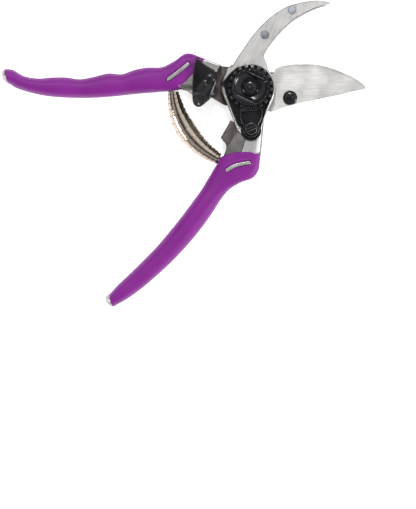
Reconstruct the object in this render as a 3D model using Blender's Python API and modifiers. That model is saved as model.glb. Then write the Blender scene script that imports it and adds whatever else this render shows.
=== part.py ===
"""Bypass pruning shears, drawn open and unlocked, lying on their bolt head and grips.

Metres, +Z up. The origin is on the pivot axis at the back face of the pivot bolt's head.
+X runs from the pivot to the tip of the cutting blade, +Y to the side of the hooked blade,
and +Z to the side of the adjusting nut. Outlines are written in millimetres in this frame.
"""

import math

import bmesh
import bpy
from mathutils import Vector

MM = 0.001

# Stack along the pivot axis, from the bolt head up, in millimetres.
GAP = 0.3
BOLT_HEAD_THICKNESS = 2.2
BACK_FACE = 0.7
BACK_LAYER_THICKNESS = 4.5
BLADE_THICKNESS = 3.0
ANVIL_THICKNESS = 2.5
FRONT_LAYER_THICKNESS = 4.5
LOCK_PLATE_THICKNESS = 1.2
NUT_THICKNESS = 3.5
SEGMENT_THICKNESS = 2.2
BOLT_END_STANDS_OUT = 0.8

# Round sizes about the pivot, in millimetres.
BOLT_RADIUS = 4.8
BOLT_HEAD_RADIUS = 8.0
RELIEF_RADIUS = 21.0
HUB_RADIUS = 13.0
NUT_RADIUS = 12.6
NUT_TEETH = 20
TOOTH_DEPTH = 1.8
STOP_INNER_RADIUS = 22.2
STOP_OUTER_RADIUS = 32.4
CLOSING_ANGLE = 46.0
STOP_FACE_ANGLE = 240.0

# Handles and grips, in millimetres.
UPPER_HANDLE_LENGTH = 112.0
LOWER_HANDLE_LENGTH = 106.0
GRIP_THICKNESS = 16.8
GRIP_WALL = 1.5
GRIP_SIDES = 16
MOUTH_ROUNDNESS = 0.5
HAND_ROUNDNESS = 0.8
TIP_HALF_THICKNESS = 5.2
RIB_HALF_WIDTH = 1.1
RIB_STANDS_OUT = 0.3

# Small hardware, in millimetres.
BLADE_SCREW_RADIUS = 4.1
BLADE_SCREW_SHANK = 2.4
RIVET_RADIUS = 2.25
SEGMENT_SCREW_RADIUS = 3.8
SEGMENT_SCREW_SHANK = 2.0
LATCH_SCREW_RADIUS = 3.0
LATCH_SCREW_SHANK = 1.7
LATCH_THICKNESS = 1.5
LATCH_TIP_RADIUS = 13.4
LATCH_TIP_ANGLE = 121.0
LATCH_TOOTH_ANGLE = 133.0
LATCH_HUB_RADIUS = 3.6
LATCH_TAB_RADIUS = 3.6
LATCH_TAB_HEIGHT = 1.6
WASHER_THICKNESS = 0.5
ANVIL_EDGE_SHOWS = 0.5
PLATE_ROUND_RADIUS = 13.4
PLATE_TAIL_RADIUS = 5.9
SEGMENT_TAIL_RADIUS = 4.7
NUT_DISH_RADIUS = 9.2
NUT_DISH_DEPTH = 1.2
BUMPER_THICKNESS = 2.8
SPRING_ARC_RADIUS = 44.4
SPRING_END_RADIUS = 2.9
SPRING_MIDDLE_RADIUS = 5.6
SPRING_PEG_RADIUS = 1.8
SPRING_PEG_LENGTH = 4.0
SPRING_START_ANGLE = 181.5
SPRING_END_ANGLE = 247.7
SPRING_END_SETBACK = 1.6

# Levels worked out from the stack.
BACK_TOP = BACK_FACE + BACK_LAYER_THICKNESS
BLADE_LOW = BACK_TOP + GAP
BLADE_TOP = BLADE_LOW + BLADE_THICKNESS
ANVIL_LOW = BLADE_TOP + GAP
ANVIL_TOP = ANVIL_LOW + ANVIL_THICKNESS
FRONT_LOW = ANVIL_TOP + GAP
FRONT_TOP = FRONT_LOW + FRONT_LAYER_THICKNESS
PLATE_LOW = FRONT_TOP + GAP
PLATE_TOP = PLATE_LOW + LOCK_PLATE_THICKNESS
NUT_LOW = PLATE_TOP + GAP
NUT_TOP = NUT_LOW + NUT_THICKNESS
SEGMENT_TOP = NUT_LOW + SEGMENT_THICKNESS
BOLT_END = NUT_TOP + BOLT_END_STANDS_OUT
GRIP_MIDDLE = GRIP_THICKNESS / 2
RIB_TOP = FRONT_TOP + RIB_STANDS_OUT
PLATEAU_TOP = ANVIL_TOP - GAP
BOLT_HOLE = BOLT_RADIUS + GAP
RIVET_SHANK = RIVET_RADIUS * 0.8
SEGMENT_SCREW_FOOT = FRONT_LOW - 2.0
LATCH_SCREW_FOOT = FRONT_TOP - 8.0
LATCH_LOW = PLATE_TOP + GAP
LATCH_TOP = LATCH_LOW + LATCH_THICKNESS

BLADE_SCREW_AT = (23.0, -5.4)
RIVETS_AT = {"hook_rivet_rear": (8.3, 30.3), "hook_rivet_front": (24.0, 44.5)}
SEGMENT_SCREW_AT = (0.2, -24.4)
LATCH_AT = (-23.2, 5.2)
LATCH_TAB_AT = (-29.7, -7.4)

# Materials: name, colour, roughness, metallic.
VINYL = ("purple_vinyl", (0.26, 0.03, 0.29), 0.42, 0.0)
FORGED = ("forged_aluminium", (0.55, 0.54, 0.53), 0.38, 1.0)
STEEL = ("blade_steel", (0.60, 0.58, 0.56), 0.28, 1.0)
BLACK_STEEL = ("blackened_steel", (0.012, 0.012, 0.015), 0.25, 0.6)
RIVET_STEEL = ("rivet_steel", (0.42, 0.45, 0.49), 0.35, 1.0)
NICKEL = ("spring_nickel", (0.62, 0.56, 0.46), 0.22, 1.0)
RUBBER = ("black_rubber", (0.015, 0.015, 0.016), 0.7, 0.0)

for old in list(bpy.data.objects):
    bpy.data.objects.remove(old)

PARTS = bpy.data.collections.new("pruning_shears")
CUTTERS = bpy.data.collections.new("cutters")
bpy.context.scene.collection.children.link(PARTS)
bpy.context.scene.collection.children.link(CUTTERS)


# ---------------------------------------------------------------- drawing helpers


def polar(radius, degrees, centre=(0.0, 0.0)):
    """The point at this radius and angle from a centre."""
    angle = math.radians(degrees)
    return (centre[0] + radius * math.cos(angle), centre[1] + radius * math.sin(angle))


def arc(radius, start, end, steps, centre=(0.0, 0.0)):
    """Points along a circle from one angle to another, both ends included."""
    return [polar(radius, start + (end - start) * i / steps, centre) for i in range(steps + 1)]


def circle(radius, sides, centre=(0.0, 0.0)):
    """The corners of a regular polygon that stands for a circle."""
    return [polar(radius, 360 * i / sides, centre) for i in range(sides)]


def smooth(points, steps=3):
    """A Catmull-Rom curve through the points, with both end points kept."""
    path = []
    for i in range(len(points) - 1):
        before = Vector(points[max(i - 1, 0)])
        start = Vector(points[i])
        end = Vector(points[i + 1])
        after = Vector(points[min(i + 2, len(points) - 1)])
        for k in range(steps):
            t = k / steps
            bend = (end - before) * t + (2 * before - 5 * start + 4 * end - after) * t * t
            bend += (3 * start - before - 3 * end + after) * t * t * t
            path.append(tuple(start + bend / 2))
    return path + [tuple(points[-1])]


def material(finish):
    """The Principled material of a finish, made once."""
    name, colour, roughness, metallic = finish
    made = bpy.data.materials.get(name)
    if made:
        return made
    made = bpy.data.materials.new(name)
    made.use_nodes = True
    shader = made.node_tree.nodes["Principled BSDF"]
    shader.inputs["Base Color"].default_value = (*colour, 1.0)
    shader.inputs["Roughness"].default_value = roughness
    shader.inputs["Metallic"].default_value = metallic
    return made


def add_part(name, mesh, finish=None, collection=PARTS):
    """Put a mesh in the scene as a named part, or as a tool when it has no finish."""
    part = bpy.data.objects.new(name, mesh)
    collection.objects.link(part)
    if finish:
        mesh.materials.append(material(finish))
    else:
        part.hide_render = True
        part.display_type = "WIRE"
    return part


def plate_mesh(name, outline, low, high, holes=()):
    """A flat outline with holes, extruded between two heights."""
    curve = bpy.data.curves.new(name, "CURVE")
    curve.dimensions = "2D"
    curve.fill_mode = "BOTH"
    curve.extrude = (high - low) / 2 * MM
    for loop in [outline, *holes]:
        spline = curve.splines.new("POLY")
        spline.points.add(len(loop) - 1)
        for point, (x, y) in zip(spline.points, loop):
            point.co = (x * MM, y * MM, 0.0, 1.0)
        spline.use_cyclic_u = True
    drawn = bpy.data.objects.new(name, curve)
    CUTTERS.objects.link(drawn)
    evaluated = drawn.evaluated_get(bpy.context.evaluated_depsgraph_get())
    mesh = bpy.data.meshes.new_from_object(evaluated)
    bpy.data.objects.remove(drawn)
    body = bmesh.new()
    body.from_mesh(mesh)
    bmesh.ops.remove_doubles(body, verts=body.verts, dist=0.000001)
    bmesh.ops.translate(body, verts=body.verts, vec=(0, 0, (low + high) / 2 * MM))
    bmesh.ops.recalc_face_normals(body, faces=body.faces)
    body.to_mesh(mesh)
    body.free()
    return mesh


def plate(name, outline, low, high, finish, holes=()):
    """A plate as a part."""
    return add_part(name, plate_mesh(name, outline, low, high, holes), finish)


def tool_plate(name, outline, low, high, holes=()):
    """A plate as a tool for a Boolean."""
    return add_part(name, plate_mesh(name, outline, low, high, holes), collection=CUTTERS)


def turned(name, profile, centre, finish, sides=32):
    """A turned part: a profile of (radius, height) from its top to its bottom."""
    mesh = bpy.data.meshes.new(name)
    points = [(r * MM, 0.0, z * MM) for r, z in profile]
    mesh.from_pydata(points, [(i, i + 1) for i in range(len(points) - 1)], [])
    part = add_part(name, mesh, finish)
    part.location = (centre[0] * MM, centre[1] * MM, 0.0)
    screw = part.modifiers.new("turn", "SCREW")
    screw.angle = math.tau
    screw.steps = sides
    screw.render_steps = sides
    screw.use_merge_vertices = True
    screw.merge_threshold = 0.000001
    return part


def dome(radius, low, high, steps=4):
    """The upper profile of a flat dome, from its crown out to its rim."""
    profile = []
    for i in range(steps + 1):
        angle = math.pi / 2 * i / steps
        profile.append((radius * math.sin(angle), low + (high - low) * math.cos(angle)))
    return profile


def combine(part, operation, tool):
    """Join a tool to a part, or cut it away."""
    step = part.modifiers.new(tool.name, "BOOLEAN")
    step.operation = operation
    step.object = tool
    step.solver = "EXACT"


def section(top, bottom, half_thickness, inset, roundness):
    """A rounded section between the two edge points of a handle, drawn in by an inset."""
    top = Vector(top)
    bottom = Vector(bottom)
    centre = (top + bottom) / 2
    half = (top - bottom) / 2
    half = half * (1 - inset / half.length)
    ring = []
    for i in range(GRIP_SIDES):
        angle = math.tau * i / GRIP_SIDES
        across = math.copysign(abs(math.cos(angle)) ** roundness, math.cos(angle))
        up = math.copysign(abs(math.sin(angle)) ** roundness, math.sin(angle))
        flat = centre + half * across
        ring.append((flat.x * MM, flat.y * MM, (GRIP_MIDDLE + (half_thickness - inset) * up) * MM))
    return ring


def skin(body, rings):
    """Faces between consecutive rings of points, with the rings' vertices."""
    rows = [[body.verts.new(point) for point in ring] for ring in rings]
    for near, far in zip(rows, rows[1:]):
        for i in range(len(near)):
            j = (i + 1) % len(near)
            body.faces.new((near[i], near[j], far[j], far[i]))
    return rows


def finish_mesh(name, body):
    """Turn every face outwards and hand the mesh over."""
    bmesh.ops.recalc_face_normals(body, faces=body.faces)
    mesh = bpy.data.meshes.new(name)
    body.to_mesh(mesh)
    body.free()
    return mesh


def solid_loft(name, rings):
    """A closed solid through the rings, with a flat face at each end."""
    body = bmesh.new()
    rows = skin(body, rings)
    body.faces.new(rows[0])
    body.faces.new(list(reversed(rows[-1])))
    return finish_mesh(name, body)


def sleeve_loft(name, outer, inner):
    """A sleeve, open at both ends, between outer and inner rings."""
    body = bmesh.new()
    outside = skin(body, outer)
    inside = skin(body, inner)
    for a, b in ((outside[0], inside[0]), (outside[-1], inside[-1])):
        for i in range(len(a)):
            j = (i + 1) % len(a)
            body.faces.new((a[i], a[j], b[j], b[i]))
    return finish_mesh(name, body)


def spring_peg(name, angle, turn, radius):
    """A rod from inside a handle that points along the spring's arc."""
    end = polar(SPRING_ARC_RADIUS, angle)
    direction = polar(1.0, angle - 90 * turn)
    root = Vector((*end, 0)) - Vector((*direction, 0)) * 4.0
    tip = Vector((*end, 0)) + Vector((*direction, 0)) * SPRING_PEG_LENGTH
    mesh = bpy.data.meshes.new(name)
    body = bmesh.new()
    length = (tip - root).length * MM
    bmesh.ops.create_cone(
        body, cap_ends=True, segments=12, radius1=radius * MM, radius2=radius * MM, depth=length
    )
    body.to_mesh(mesh)
    body.free()
    peg = add_part(name, mesh, collection=CUTTERS)
    middle = (root + tip) / 2
    peg.location = (middle.x * MM, middle.y * MM, GRIP_MIDDLE * MM)
    peg.rotation_mode = "QUATERNION"
    peg.rotation_quaternion = (tip - root).to_track_quat("Z", "Y")
    return peg


def shade(part):
    """Smooth shading that keeps the part's sharp edges."""
    part.data.shade_smooth()
    part.data.set_sharp_from_angle(angle=math.radians(35))


# ---------------------------------------------------------------- handle shapes

# Each station holds the outer edge point and the inner edge point of a grip, from its mouth
# to its end, as drawn for the handle length in the name.
UPPER_DRAWN_LENGTH = 112.0
UPPER_STATIONS = [
    ((-26.3, 17.0), (-42.5, -0.9)),
    ((-30.0, 18.4), (-44.5, -1.3)),
    ((-34.0, 19.9), (-47.0, -1.5)),
    ((-38.0, 19.6), (-49.5, -1.8)),
    ((-44.0, 15.5), (-52.5, -2.0)),
    ((-51.0, 12.2), (-56.0, -2.3)),
    ((-59.0, 12.0), (-61.0, -2.7)),
    ((-66.5, 10.7), (-67.0, -3.3)),
    ((-74.0, 8.2), (-74.0, -4.1)),
    ((-82.0, 8.6), (-82.0, -4.9)),
    ((-90.0, 6.7), (-90.0, -5.4)),
    ((-98.0, 5.3), (-98.0, -5.5)),
    ((-106.0, 6.3), (-106.0, -5.3)),
    ((-114.0, 6.3), (-113.5, -4.8)),
    ((-122.0, 5.7), (-121.0, -3.7)),
    ((-130.0, 7.0), (-128.5, -1.9)),
    ((-136.5, 10.6), (-134.5, 0.1)),
    ((-141.0, 11.2), (-138.7, 2.7)),
]
UPPER_TIP = ((-143.2, 9.6), (-141.6, 5.6))
UPPER_ROOT = ((-24.0, 14.6), (-36.5, 1.0))

LOWER_DRAWN_LENGTH = 106.0
LOWER_STATIONS = [
    ((5.9, -38.3), (-17.5, -40.5)),
    ((5.6, -42.0), (-19.0, -43.5)),
    ((4.8, -47.1), (-21.8, -48.0)),
    ((1.5, -51.6), (-24.9, -53.0)),
    ((-5.3, -54.2), (-28.2, -58.5)),
    ((-11.9, -58.2), (-32.2, -64.0)),
    ((-17.0, -64.2), (-35.9, -69.0)),
    ((-22.5, -72.8), (-40.6, -75.2)),
    ((-29.2, -82.0), (-46.3, -82.2)),
    ((-37.0, -91.2), (-52.8, -90.0)),
    ((-45.3, -100.0), (-59.2, -96.7)),
    ((-54.5, -108.5), (-65.3, -102.8)),
    ((-62.8, -115.5), (-70.9, -108.2)),
    ((-70.9, -121.3), (-76.2, -113.2)),
    ((-78.7, -125.8), (-80.6, -118.0)),
]
LOWER_TIP = ((-81.0, -125.9), (-83.2, -121.8))
LOWER_ROOT = ((4.6, -32.5), (-11.0, -33.0))

MOUTH_STATIONS = 4

# Middle lines of the bare ribs that show through a slot in each grip.
UPPER_RIB = [(-47.0, 5.2), (-41.4, 9.5), (-35.8, 13.9)]
LOWER_RIB = [(-13.3, -46.7), (-10.0, -44.8), (-6.0, -43.5), (-1.0, -42.6)]


def stretched(station, mouth, end, factor):
    """A station moved along its handle, so that the handle takes its stated length."""
    base = (Vector(mouth[0]) + Vector(mouth[1])) / 2
    along = ((Vector(end[0]) + Vector(end[1])) / 2 - base).normalized()
    moved = []
    for point in station:
        travel = max((Vector(point) - base).dot(along), 0.0)
        moved.append(tuple(Vector(point) + along * travel * (factor - 1)))
    return tuple(moved)


def handle(stations, tip, factor):
    """All stations of a handle and its bare tip, stretched to length."""
    mouth = stations[0]
    end = stations[-1]
    placed = [stations[0]] + [stretched(s, mouth, end, factor) for s in stations[1:]]
    return placed, stretched(tip, mouth, end, factor)


def thickness_at(index):
    """Half the grip's thickness at a station: level with the head at the mouth, then fuller."""
    full = GRIP_THICKNESS / 2
    low = FRONT_TOP - GRIP_MIDDLE
    share = min(max(index - MOUTH_STATIONS, 0) / 3, 1.0)
    return low + (full - low) * share


def roundness_at(index):
    """How round a grip's section is at a station: squarer at the mouth, rounder in the hand."""
    share = min(max(index - 1, 0) / (MOUTH_STATIONS + 2), 1.0)
    return MOUTH_ROUNDNESS + (HAND_ROUNDNESS - MOUTH_ROUNDNESS) * share


def ribbon(path, half_width):
    """The outline of a line with round ends and an even width."""
    path = [Vector(point) for point in smooth(path, 3)]
    side = []
    for i, point in enumerate(path):
        along = path[min(i + 1, len(path) - 1)] - path[max(i - 1, 0)]
        side.append((point, Vector((-along.y, along.x)).normalized() * half_width))
    turn = [math.degrees(math.atan2(across.y, across.x)) for _, across in (side[0], side[-1])]
    outline = [tuple(point - across) for point, across in side[1:-1]]
    outline += arc(half_width, turn[1] - 180, turn[1], 6, side[-1][0])
    outline += [tuple(point + across) for point, across in reversed(side[1:-1])]
    return outline + arc(half_width, turn[0], turn[0] + 180, 6, side[0][0])


def make_rib(name, path):
    """The part of a forging that shows through its grip."""
    outline = ribbon(path, RIB_HALF_WIDTH)
    return tool_plate(name, outline, GRIP_MIDDLE, RIB_TOP)


def make_grip(name, stations, peg_angle, peg_turn, rib_path):
    """The dipped vinyl grip: an open sleeve, with a hole for the peg and a slot for the rib."""
    shape = [(s, thickness_at(i), roundness_at(i)) for i, s in enumerate(stations)]
    outer = [section(*s, half, 0.0, rounding) for s, half, rounding in shape]
    inner = [section(*s, half, GRIP_WALL, rounding) for s, half, rounding in shape]
    grip = add_part(name, sleeve_loft(name, outer, inner), VINYL)
    shade(grip)
    hole = spring_peg(name + "_peg_hole", peg_angle, peg_turn, SPRING_PEG_RADIUS + GAP)
    combine(grip, "DIFFERENCE", hole)
    slot = ribbon(rib_path, RIB_HALF_WIDTH + GAP)
    slot_tool = tool_plate(name + "_slot", slot, GRIP_MIDDLE, FRONT_TOP + 3.0)
    combine(grip, "DIFFERENCE", slot_tool)


def make_core(name, root, stations, tip):
    """The forged core inside a grip, from inside the head to the bare tip."""
    inset = GRIP_WALL + GAP
    rings = [section(*root, thickness_at(0), inset, MOUTH_ROUNDNESS)]
    for i, station in enumerate(stations):
        rings.append(section(*station, thickness_at(i), inset, roundness_at(i)))
    rings.append(section(*tip, TIP_HALF_THICKNESS, 0.0, HAND_ROUNDNESS))
    return add_part(name, solid_loft(name, rings), collection=CUTTERS)


# ---------------------------------------------------------------- hooked handle, anvil, rivets

HOOK_OUTER = [
    (46.0, 49.2), (40.0, 50.3), (33.0, 49.8), (26.0, 48.3), (21.0, 46.7), (17.0, 44.5),
    (13.0, 41.8), (9.0, 38.5), (5.0, 34.5), (2.0, 31.0), (-1.0, 27.0), (-5.0, 21.0),
    (-8.0, 16.5), (-10.0, 13.0),
]
HOOK_INNER = [
    (7.5, 18.0), (8.2, 20.3), (10.0, 23.3), (13.0, 27.3), (17.0, 32.0), (21.0, 36.0),
    (25.0, 39.3), (30.0, 42.3), (35.0, 44.8), (40.0, 46.7), (46.0, 48.0),
]
FRONT_LEFT = [(-17.0, 0.5), (-7.3, -24.8), (-10.5, -29.5), (-13.5, -34.0)]
LOWER_MOUTH = [(-14.2, -38.4), (5.6, -37.9)]
FRONT_RIGHT = [(6.8, -31.0), (7.3, -25.0), (8.0, -19.0), (10.0, -13.5), (13.7, -6.0), (14.3, 1.0)]
NECK_LEFT = [(-14.0, -30.4), (-13.1, -33.5), (-14.2, -38.4)]


def make_hooked_handle():
    """Forging of the smooth handle, with its head, its hook and its spring peg."""
    factor = LOWER_HANDLE_LENGTH / LOWER_DRAWN_LENGTH
    stations, tip = handle(LOWER_STATIONS, LOWER_TIP, factor)
    shoulder = arc(16.2, 128, 176, 5)
    outline = smooth(HOOK_OUTER, 2) + shoulder + FRONT_LEFT + LOWER_MOUTH
    outline += smooth(FRONT_RIGHT, 2) + [(10.5, 10.0), (9.0, 14.0)] + smooth(HOOK_INNER, 2)
    rivet_holes = [circle(RIVET_RADIUS + GAP, 16, at) for at in RIVETS_AT.values()]
    holes = [circle(BOLT_HOLE, 32), *rivet_holes]
    name = "lower_handle_frame"
    frame = plate(name, outline, FRONT_LOW, FRONT_TOP, FORGED, holes)
    neck = arc(STOP_INNER_RADIUS, 287, STOP_FACE_ANGLE, 8)
    neck += [polar(STOP_OUTER_RADIUS, STOP_FACE_ANGLE)] + NECK_LEFT + [LOWER_MOUTH[1]]
    neck += [(6.5, -31.0)]
    combine(frame, "UNION", tool_plate("lower_neck", neck, BACK_FACE, FRONT_LOW + 1.0))
    combine(frame, "UNION", make_core("lower_core", LOWER_ROOT, stations, tip))
    combine(frame, "UNION", spring_peg("lower_peg", SPRING_END_ANGLE, 1, SPRING_PEG_RADIUS))
    screw_hole = circle(SEGMENT_SCREW_SHANK + GAP, 16, SEGMENT_SCREW_AT)
    bore = tool_plate("segment_screw_bore", screw_hole, SEGMENT_SCREW_FOOT - GAP, FRONT_TOP + 5.0)
    combine(frame, "DIFFERENCE", bore)
    combine(frame, "UNION", make_rib("lower_rib", LOWER_RIB))
    make_grip("lower_grip", stations, SPRING_END_ANGLE, 1, LOWER_RIB)


def make_anvil_blade():
    """Steel counter blade behind the hook: its inner edge just shows past the forging."""
    inner = [(x + ANVIL_EDGE_SHOWS * 0.8, y - ANVIL_EDGE_SHOWS * 0.6) for x, y in HOOK_INNER]
    outer = [(x + ANVIL_EDGE_SHOWS, y - ANVIL_EDGE_SHOWS) for x, y in HOOK_OUTER[1:-2]]
    outline = [(45.0, 48.6)] + smooth(outer, 2) + arc(HUB_RADIUS, 130, 385, 20)
    outline += [(9.6, 14.0)] + smooth(inner[:-1], 2)
    holes = [circle(BOLT_HOLE, 32)]
    holes += [circle(RIVET_SHANK + GAP, 16, at) for at in RIVETS_AT.values()]
    return plate("anvil_blade", outline, ANVIL_LOW, ANVIL_TOP, STEEL, holes)


def make_rivets():
    """Two flush rivets that hold the anvil blade to the hook."""
    for name, at in RIVETS_AT.items():
        profile = [(0, FRONT_TOP + 0.1), (RIVET_RADIUS, FRONT_TOP), (RIVET_RADIUS, FRONT_LOW + 1.0)]
        profile += [(RIVET_SHANK, FRONT_LOW), (RIVET_SHANK, ANVIL_LOW), (0, ANVIL_LOW)]
        shade(turned(name, profile, at, RIVET_STEEL, 16))


# ---------------------------------------------------------------- blade handle, blade, screw

BLADE_EDGE = [
    (14.5, 11.3), (17.0, 12.5), (20.0, 13.3), (24.0, 13.9), (30.0, 14.2), (36.0, 14.0),
    (42.0, 13.0), (48.0, 11.3), (54.0, 8.9), (60.0, 6.0), (64.0, 3.2), (66.8, 0.6),
]
BLADE_SPINE = [(65.5, -0.4), (60.0, -1.6), (50.0, -4.0), (40.0, -6.0), (30.0, -8.0), (20.0, -10.6)]
BLADE_NOTCH = [(10.6, 9.0), (11.5, 8.2), (13.0, 8.4), (14.0, 9.8)]


def make_cutting_blade():
    """Bevelled bypass blade, held by the pivot bolt and one screw."""
    outline = smooth(BLADE_EDGE, 2) + BLADE_SPINE + [(12.0, -13.5)] + arc(HUB_RADIUS, 300, 45, 20)
    outline += BLADE_NOTCH
    holes = [circle(BOLT_HOLE, 32), circle(BLADE_SCREW_SHANK + GAP, 16, BLADE_SCREW_AT)]
    return plate("cutting_blade", outline, BLADE_LOW, BLADE_TOP, STEEL, holes)


UPPER_TOP_EDGE = [(-26.0, 16.7), (-17.6, 13.4)]
UPPER_LOWER_EDGE = [(-22.9, -4.5), (-30.0, 0.4), (-41.9, -0.4)]
PLATEAU = [(-38.5, -0.9), (-36.5, -1.0), (-35.2, -2.0), (-33.5, -3.4), (-32.0, -5.2)]


def make_blade_handle():
    """Forging of the finger-grip handle: back plate under the blade, neck and spring peg."""
    factor = UPPER_HANDLE_LENGTH / UPPER_DRAWN_LENGTH
    stations, tip = handle(UPPER_STATIONS, UPPER_TIP, factor)
    name = "upper_handle_frame"
    back = [(-26.0, 16.7), (-17.5, 13.2), (-11.0, 12.6)] + arc(HUB_RADIUS, 110, 50, 5)
    back += [(20.0, 9.0), (27.0, 2.5), (29.0, -4.0), (26.0, -8.2), (12.0, -12.5)]
    back += arc(HUB_RADIUS + 2.0, 300, 222, 5) + [(-15.0, -9.3)] + UPPER_LOWER_EDGE
    holes = [circle(BOLT_HOLE, 32), circle(BLADE_SCREW_SHANK + GAP, 16, BLADE_SCREW_AT)]
    frame = plate(name, back, BACK_FACE, BACK_TOP, FORGED, holes)
    neck = UPPER_TOP_EDGE + arc(RELIEF_RADIUS, 142, 190, 8) + UPPER_LOWER_EDGE
    combine(frame, "UNION", tool_plate("upper_neck", neck, BACK_FACE + 0.4, FRONT_TOP))
    bumper_back = bumper_angle(BUMPER_THICKNESS + GAP)
    plateau = [(-22.6, -1.0), polar(STOP_INNER_RADIUS + 0.7, bumper_back + 3)]
    plateau += [polar(STOP_OUTER_RADIUS, bumper_back + 3)]
    plateau += list(reversed(PLATEAU)) + [(-39.5, 0.5)]
    combine(frame, "UNION", tool_plate("upper_plateau", plateau, BACK_FACE + 0.8, PLATEAU_TOP))
    seat = [polar(STOP_INNER_RADIUS, bumper_back), polar(STOP_INNER_RADIUS, STOP_FACE_ANGLE)]
    beyond = STOP_OUTER_RADIUS + 2.0
    seat += [polar(beyond, STOP_FACE_ANGLE), polar(beyond, bumper_back)]
    combine(frame, "DIFFERENCE", tool_plate("bumper_seat", seat, BACK_FACE - 1.0, FRONT_TOP + 1.0))
    combine(frame, "UNION", make_core("upper_core", UPPER_ROOT, stations, tip))
    combine(frame, "UNION", spring_peg("upper_peg", SPRING_START_ANGLE, -1, SPRING_PEG_RADIUS))
    recess = circle(BOLT_HEAD_RADIUS + GAP, 32)
    recess_tool = tool_plate("bolt_head_recess", recess, -1.0, BOLT_HEAD_THICKNESS + GAP)
    combine(frame, "DIFFERENCE", recess_tool)
    screw_hole = circle(LATCH_SCREW_SHANK + GAP, 16, LATCH_AT)
    bore = tool_plate("latch_screw_bore", screw_hole, LATCH_SCREW_FOOT - GAP, FRONT_TOP + 5.0)
    combine(frame, "DIFFERENCE", bore)
    combine(frame, "UNION", make_rib("upper_rib", UPPER_RIB))
    make_grip("upper_grip", stations, SPRING_START_ANGLE, -1, UPPER_RIB)


def bumper_angle(back_from_face):
    """Angle of a radial face this far behind the bumper's striking face."""
    middle = (STOP_INNER_RADIUS + STOP_OUTER_RADIUS) / 2
    face = STOP_FACE_ANGLE - CLOSING_ANGLE - math.degrees(GAP / middle)
    return face - math.degrees(back_from_face / middle)


def make_bumper():
    """Rubber buffer on the blade handle, which meets the other handle's stop face."""
    face = bumper_angle(0.0)
    back = bumper_angle(BUMPER_THICKNESS)
    inner = STOP_INNER_RADIUS + GAP
    outer = STOP_OUTER_RADIUS - GAP
    outline = [polar(inner, back), polar(inner, face), polar(outer, face), polar(outer, back)]
    return plate("rubber_bumper", outline, BACK_FACE + 0.8, PLATEAU_TOP, RUBBER)


def make_blade_screw():
    """Cross-slotted screw that holds the blade to its handle."""
    head_low = BLADE_TOP + GAP
    head = dome(BLADE_SCREW_RADIUS, head_low + 0.7, head_low + 2.0)
    shank = BLADE_SCREW_SHANK
    profile = head + [(BLADE_SCREW_RADIUS, head_low), (shank, head_low), (shank, BACK_FACE + 0.5)]
    screw = turned("blade_screw", profile + [(0, BACK_FACE + 0.5)], BLADE_SCREW_AT, BLACK_STEEL, 24)
    arm = BLADE_SCREW_RADIUS * 0.55
    corners = [(arm, -12), (arm, 12), (0.65, 45)]
    cross = [polar(r, 20 + 90 * i + a, BLADE_SCREW_AT) for i in range(4) for r, a in corners]
    slot = tool_plate("blade_screw_slot", cross, head_low + 0.8, head_low + 3.0)
    combine(screw, "DIFFERENCE", slot)
    return screw


# ---------------------------------------------------------------- pivot hardware on the nut side


def make_pivot_bolt():
    """Centre bolt: low head at the back, threaded end with a domed tip at the front."""
    profile = dome(3.4, BOLT_END - 0.6, BOLT_END) + [(BOLT_RADIUS, BOLT_END - 0.6)]
    profile += [(BOLT_RADIUS, BOLT_HEAD_THICKNESS), (BOLT_HEAD_RADIUS, BOLT_HEAD_THICKNESS)]
    profile += [(BOLT_HEAD_RADIUS, 0.4), (BOLT_HEAD_RADIUS - 0.4, 0.0), (0, 0)]
    shade(turned("pivot_bolt", profile, (0, 0), BLACK_STEEL))


PLATE_BEAK = [(-7.0, 12.2), (-12.0, 8.0), (-14.6, 4.6), (-16.5, 2.4), (-16.7, 1.0)]
PLATE_LEFT = [
    (-15.0, 0.2), (-14.3, -3.0), (-13.6, -5.5), (-11.9, -10.0), (-10.0, -15.0), (-7.6, -21.5),
]
PLATE_RIGHT = [(6.5, -21.5), (8.0, -17.0), (9.6, -12.4), (12.4, -5.6)]


def make_lock_plate():
    """Keyhole-shaped plate under the nut, with the beak that the latch hooks under."""
    outline = arc(PLATE_ROUND_RADIUS, -22, 118, 14) + PLATE_BEAK + PLATE_LEFT
    outline += arc(PLATE_TAIL_RADIUS, 165, 375, 10, SEGMENT_SCREW_AT) + PLATE_RIGHT
    holes = [circle(BOLT_HOLE, 32), circle(SEGMENT_SCREW_SHANK + GAP, 16, SEGMENT_SCREW_AT)]
    return plate("lock_plate", outline, PLATE_LOW, PLATE_TOP, BLACK_STEEL, holes)


def tooth_ring(outer, depth, teeth, phase):
    """A gear outline of blunt teeth."""
    pitch = 360 / teeth
    ring = []
    for i in range(teeth):
        start = phase + i * pitch
        ring += [polar(outer - depth, start), polar(outer - depth, start + pitch * 0.32)]
        ring += [polar(outer, start + pitch * 0.52), polar(outer, start + pitch * 0.80)]
    return ring


def make_adjusting_nut():
    """Toothed nut that sets how tightly the blades run, with a dished centre."""
    teeth = tooth_ring(NUT_RADIUS, TOOTH_DEPTH, NUT_TEETH, 0)
    holes = [circle(BOLT_HOLE, 32)]
    nut = plate("adjusting_nut", teeth, NUT_LOW, NUT_TOP, BLACK_STEEL, holes)
    dish = [polar(NUT_DISH_RADIUS, 30 + 60 * i + d) for i in range(6) for d in (-14, 14)]
    dish_low = NUT_TOP - NUT_DISH_DEPTH
    combine(nut, "DIFFERENCE", tool_plate("nut_dish", dish, dish_low, NUT_TOP + 2.0))
    return nut


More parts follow.
